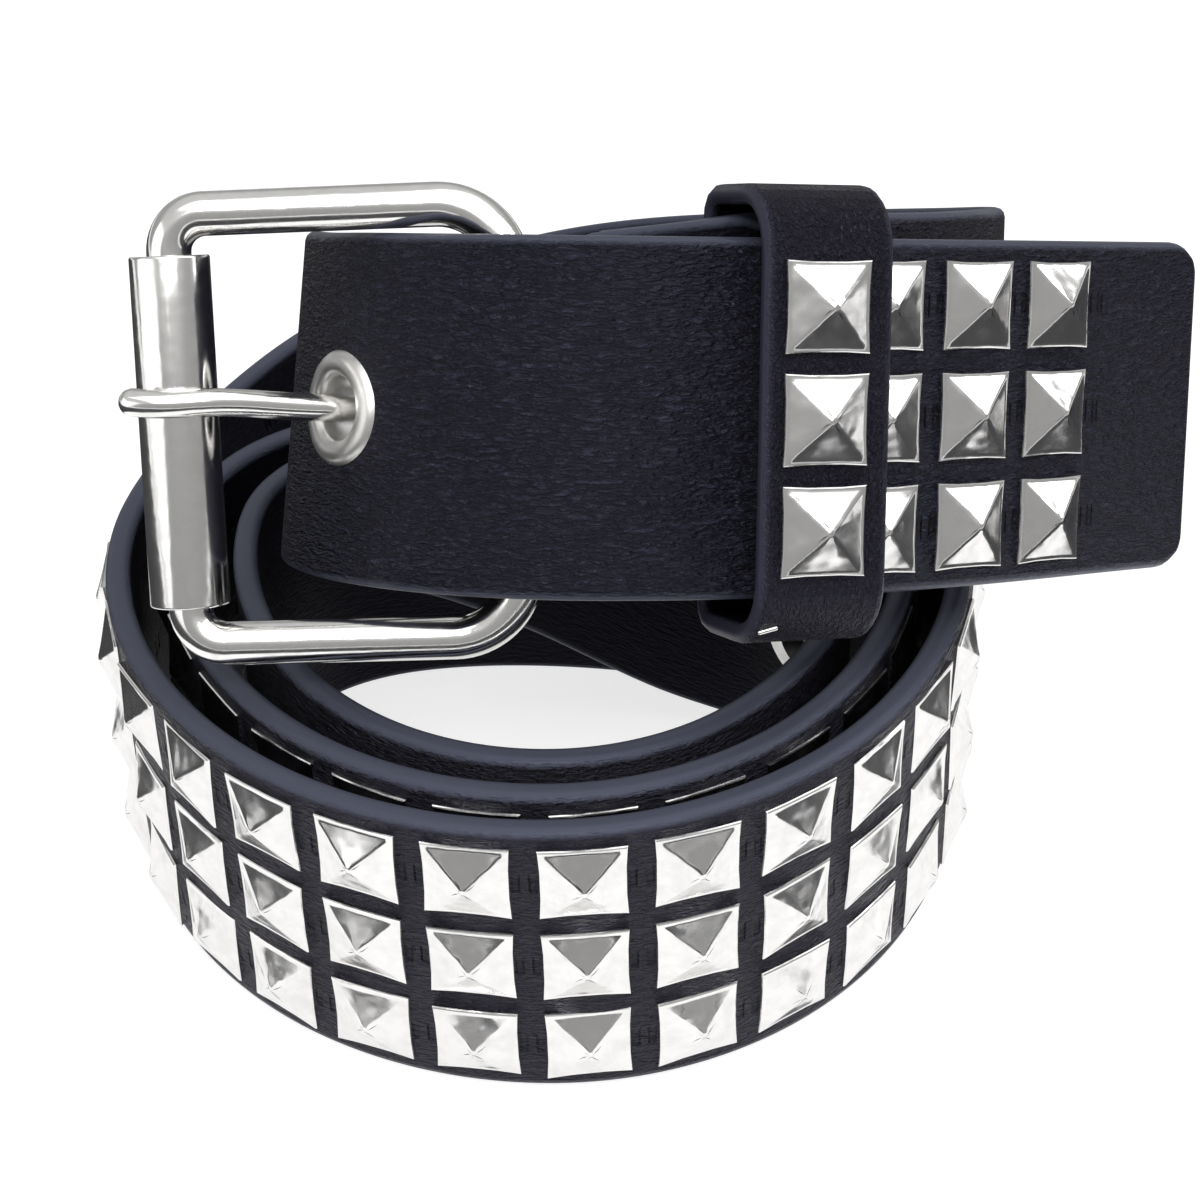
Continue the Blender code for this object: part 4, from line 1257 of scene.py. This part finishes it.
def nickel_finish(name, color, low, high, waves):
    """Plated metal: slow waves in its polish, faint smears and fine scratches."""
    finish = Finish(name)
    place = finish.node("ShaderNodeTexCoord").outputs[3]
    wave = finish.noise(place, scale=190.0)
    smears = finish.noise(place, scale=420.0, detail=3.0, roughness=0.6)
    scratches = finish.noise(finish.scaled(place, (1, 1, 0.15)), scale=9000.0)
    relief = finish.plus(wave, finish.times(scratches, SCRATCH_SHARE))
    tone = finish.mix(finish.spread(smears, 0.4, 0.7), color, tuple(0.9 * c for c in color))
    finish.set(
        Base_Color=tone,
        Metallic=1.0,
        Roughness=finish.spread(smears, 0.3, 0.7, low, high),
        Normal=finish.bump(relief, waves, WAVE_DEPTH),
    )
    return finish.material


# The lit paper that the belt stands on
FLOOR_SIZE = 3
FLOOR_GREYS = ((0.34, 0.34, 0.34), (0.36, 0.36, 0.36))
FLOOR_GLOW = 0.76


def floor_finish():
    finish = Finish("studio_floor")
    place = finish.node("ShaderNodeTexCoord").outputs[3]
    finish.set(
        Base_Color=finish.mix(finish.noise(place, scale=30.0), *FLOOR_GREYS),
        Roughness=0.75,
        Specular_IOR_Level=0.2,
        Emission_Color=(1, 1, 1, 1),
        Emission_Strength=FLOOR_GLOW,
    )
    return finish.material


# Studio

# How bright the surroundings are, by the height looked towards: 0 is the horizon and 1 is straight up
SKY = (
    ("horizon", 0.00, 0.44),
    ("low", 0.16, 0.50),
    ("softbox edge", 0.42, 0.54),
    ("softbox", 0.60, 0.85),
    ("overhead", 1.00, 0.90),
)
SKY_STRENGTH = 0.75

# The soft lights: where each stands, its width and height, and its power
LIGHTS = (
    ("top_light", (0.10, -0.14, 0.70), (1.1, 0.8), 2.9),
    ("left_light", (-0.72, -0.30, 0.28), (0.80, 0.50), 1.25),
    ("grain_light", (0.02, -0.50, 0.62), (0.60, 0.14), 2.3),
    ("right_light", (0.62, 0.05, 0.42), (0.22, 0.5), 1.2),
)
LIGHTS_AIM = (0, 0, 0.04)

# A dark ring lying round the belt, out of sight, which the faces that lean forwards reflect
CARD_SIDES = 48
CARD_REACH = 0.55
CARD_CLEARING = 0.115
CARD_MIDDLE = -0.03
CARD_HEIGHT = 0.002


def card_finish():
    finish = Finish("dark_card")
    finish.set(Base_Color=(0.02, 0.02, 0.022, 1), Roughness=0.9)
    return finish.material


def make_lights():
    for name, place, (width, height), power in LIGHTS:
        bpy.ops.object.light_add(type="AREA", location=place)
        light = bpy.context.object
        light.name = name
        light.rotation_euler = (Vector(LIGHTS_AIM) - Vector(place)).to_track_quat("-Z", "Y").to_euler()
        light.data.shape = "RECTANGLE"
        light.data.size, light.data.size_y = width, height
        light.data.energy = power


def make_floor():
    bpy.ops.mesh.primitive_plane_add(size=FLOOR_SIZE)
    floor = named("studio_floor")
    dress(floor, floor_finish())


def make_surroundings():
    world = bpy.data.worlds.new("studio")
    world.use_nodes = True
    tree = world.node_tree
    background = tree.nodes["Background"]
    direction = tree.nodes.new("ShaderNodeTexCoord")
    parts = tree.nodes.new("ShaderNodeSeparateXYZ")
    ramp = tree.nodes.new("ShaderNodeValToRGB")
    tree.links.new(direction.outputs["Generated"], parts.inputs[0])
    tree.links.new(parts.outputs[2], ramp.inputs[0])
    tree.links.new(ramp.outputs[0], background.inputs["Color"])
    points = ramp.color_ramp.elements
    while len(points) < len(SKY):
        points.new(0.5)
    for point, (_, height, grey) in zip(points, SKY):
        point.position = height
        point.color = (grey, grey, grey, 1)
    background.inputs["Strength"].default_value = SKY_STRENGTH
    bpy.context.scene.world = world
    bpy.context.scene.view_settings.view_transform = "Standard"


def make_card():
    bpy.ops.mesh.primitive_circle_add(vertices=CARD_SIDES, radius=CARD_REACH, fill_type="NGON")
    card = named("dark_card")
    card.location = (0, CARD_MIDDLE, CARD_HEIGHT)
    settle(card)
    edit(card)
    bpy.ops.mesh.select_all(action="SELECT")
    bpy.ops.mesh.inset(thickness=CARD_REACH - CARD_CLEARING, depth=0)
    bpy.ops.mesh.delete(type="FACE")
    done()
    card.visible_camera = False
    card.visible_shadow = False
    card.visible_diffuse = False
    dress(card, card_finish())


def make_camera():
    bpy.ops.object.camera_add()
    made = bpy.context.object
    made.name = "photo_camera"
    level = math.cos(CAMERA_PITCH)
    ahead = Vector((math.sin(CAMERA_YAW) * level, math.cos(CAMERA_YAW) * level, -math.sin(CAMERA_PITCH)))
    right = Vector((math.cos(CAMERA_YAW), -math.sin(CAMERA_YAW), 0))
    up = right.cross(ahead)
    upright, tipped = math.cos(CAMERA_ROLL), math.sin(CAMERA_ROLL)
    turn = turned_to(upright * right + tipped * up, upright * up - tipped * right, -ahead)
    made.matrix_world = Matrix.Translation(Vector(CAMERA_PLACE) + SHIFT) @ turn
    made.data.lens = CAMERA_LENS
    made.data.sensor_width = CAMERA_SENSOR
    made.data.clip_start = CAMERA_NEAR
    bpy.context.scene.camera = made


strap_leather = leather_finish(
    "strap_leather",
    faces=((0.0120, 0.0090, 0.0130), (0.0095, 0.0105, 0.0190)),
    # The darker colour painted into the creases as shade.
    painted_crease_shade=(0.0015, 0.0014, 0.0030),
    edge_color=(0.046, 0.050, 0.070),
    creases_per_metre=(430, 1400),
    studded=[(columns[0], columns[-1]) for columns in (field_columns(), tip_columns())],
)
keeper_leather = leather_finish(
    "keeper_leather",
    faces=((0.0085, 0.0068, 0.0125), (0.0085, 0.0068, 0.0125)),
    # The darker colour painted into the creases as shade.
    painted_crease_shade=(0.0018, 0.0014, 0.0034),
    edge_color=(0.020, 0.020, 0.032),
    creases_per_metre=(1150, 1400),
)
bright_nickel = nickel_finish("bright_nickel", (0.84, 0.83, 0.81), low=0.09, high=0.20, waves=0.25)
stud_nickel = nickel_finish("stud_nickel", (0.80, 0.79, 0.78), low=0.10, high=0.22, waves=0.60)
satin_nickel = nickel_finish("satin_nickel", (0.74, 0.73, 0.71), low=0.30, high=0.42, waves=0.25)

make_strap(strap_leather)
make_studs(stud_nickel)
make_eyelets(satin_nickel)
make_frame(bright_nickel)
make_roller(bright_nickel)
make_prong(bright_nickel)
make_keeper(keeper_leather)
make_staple(bright_nickel)
make_floor()
make_surroundings()
make_lights()
make_card()
make_camera()
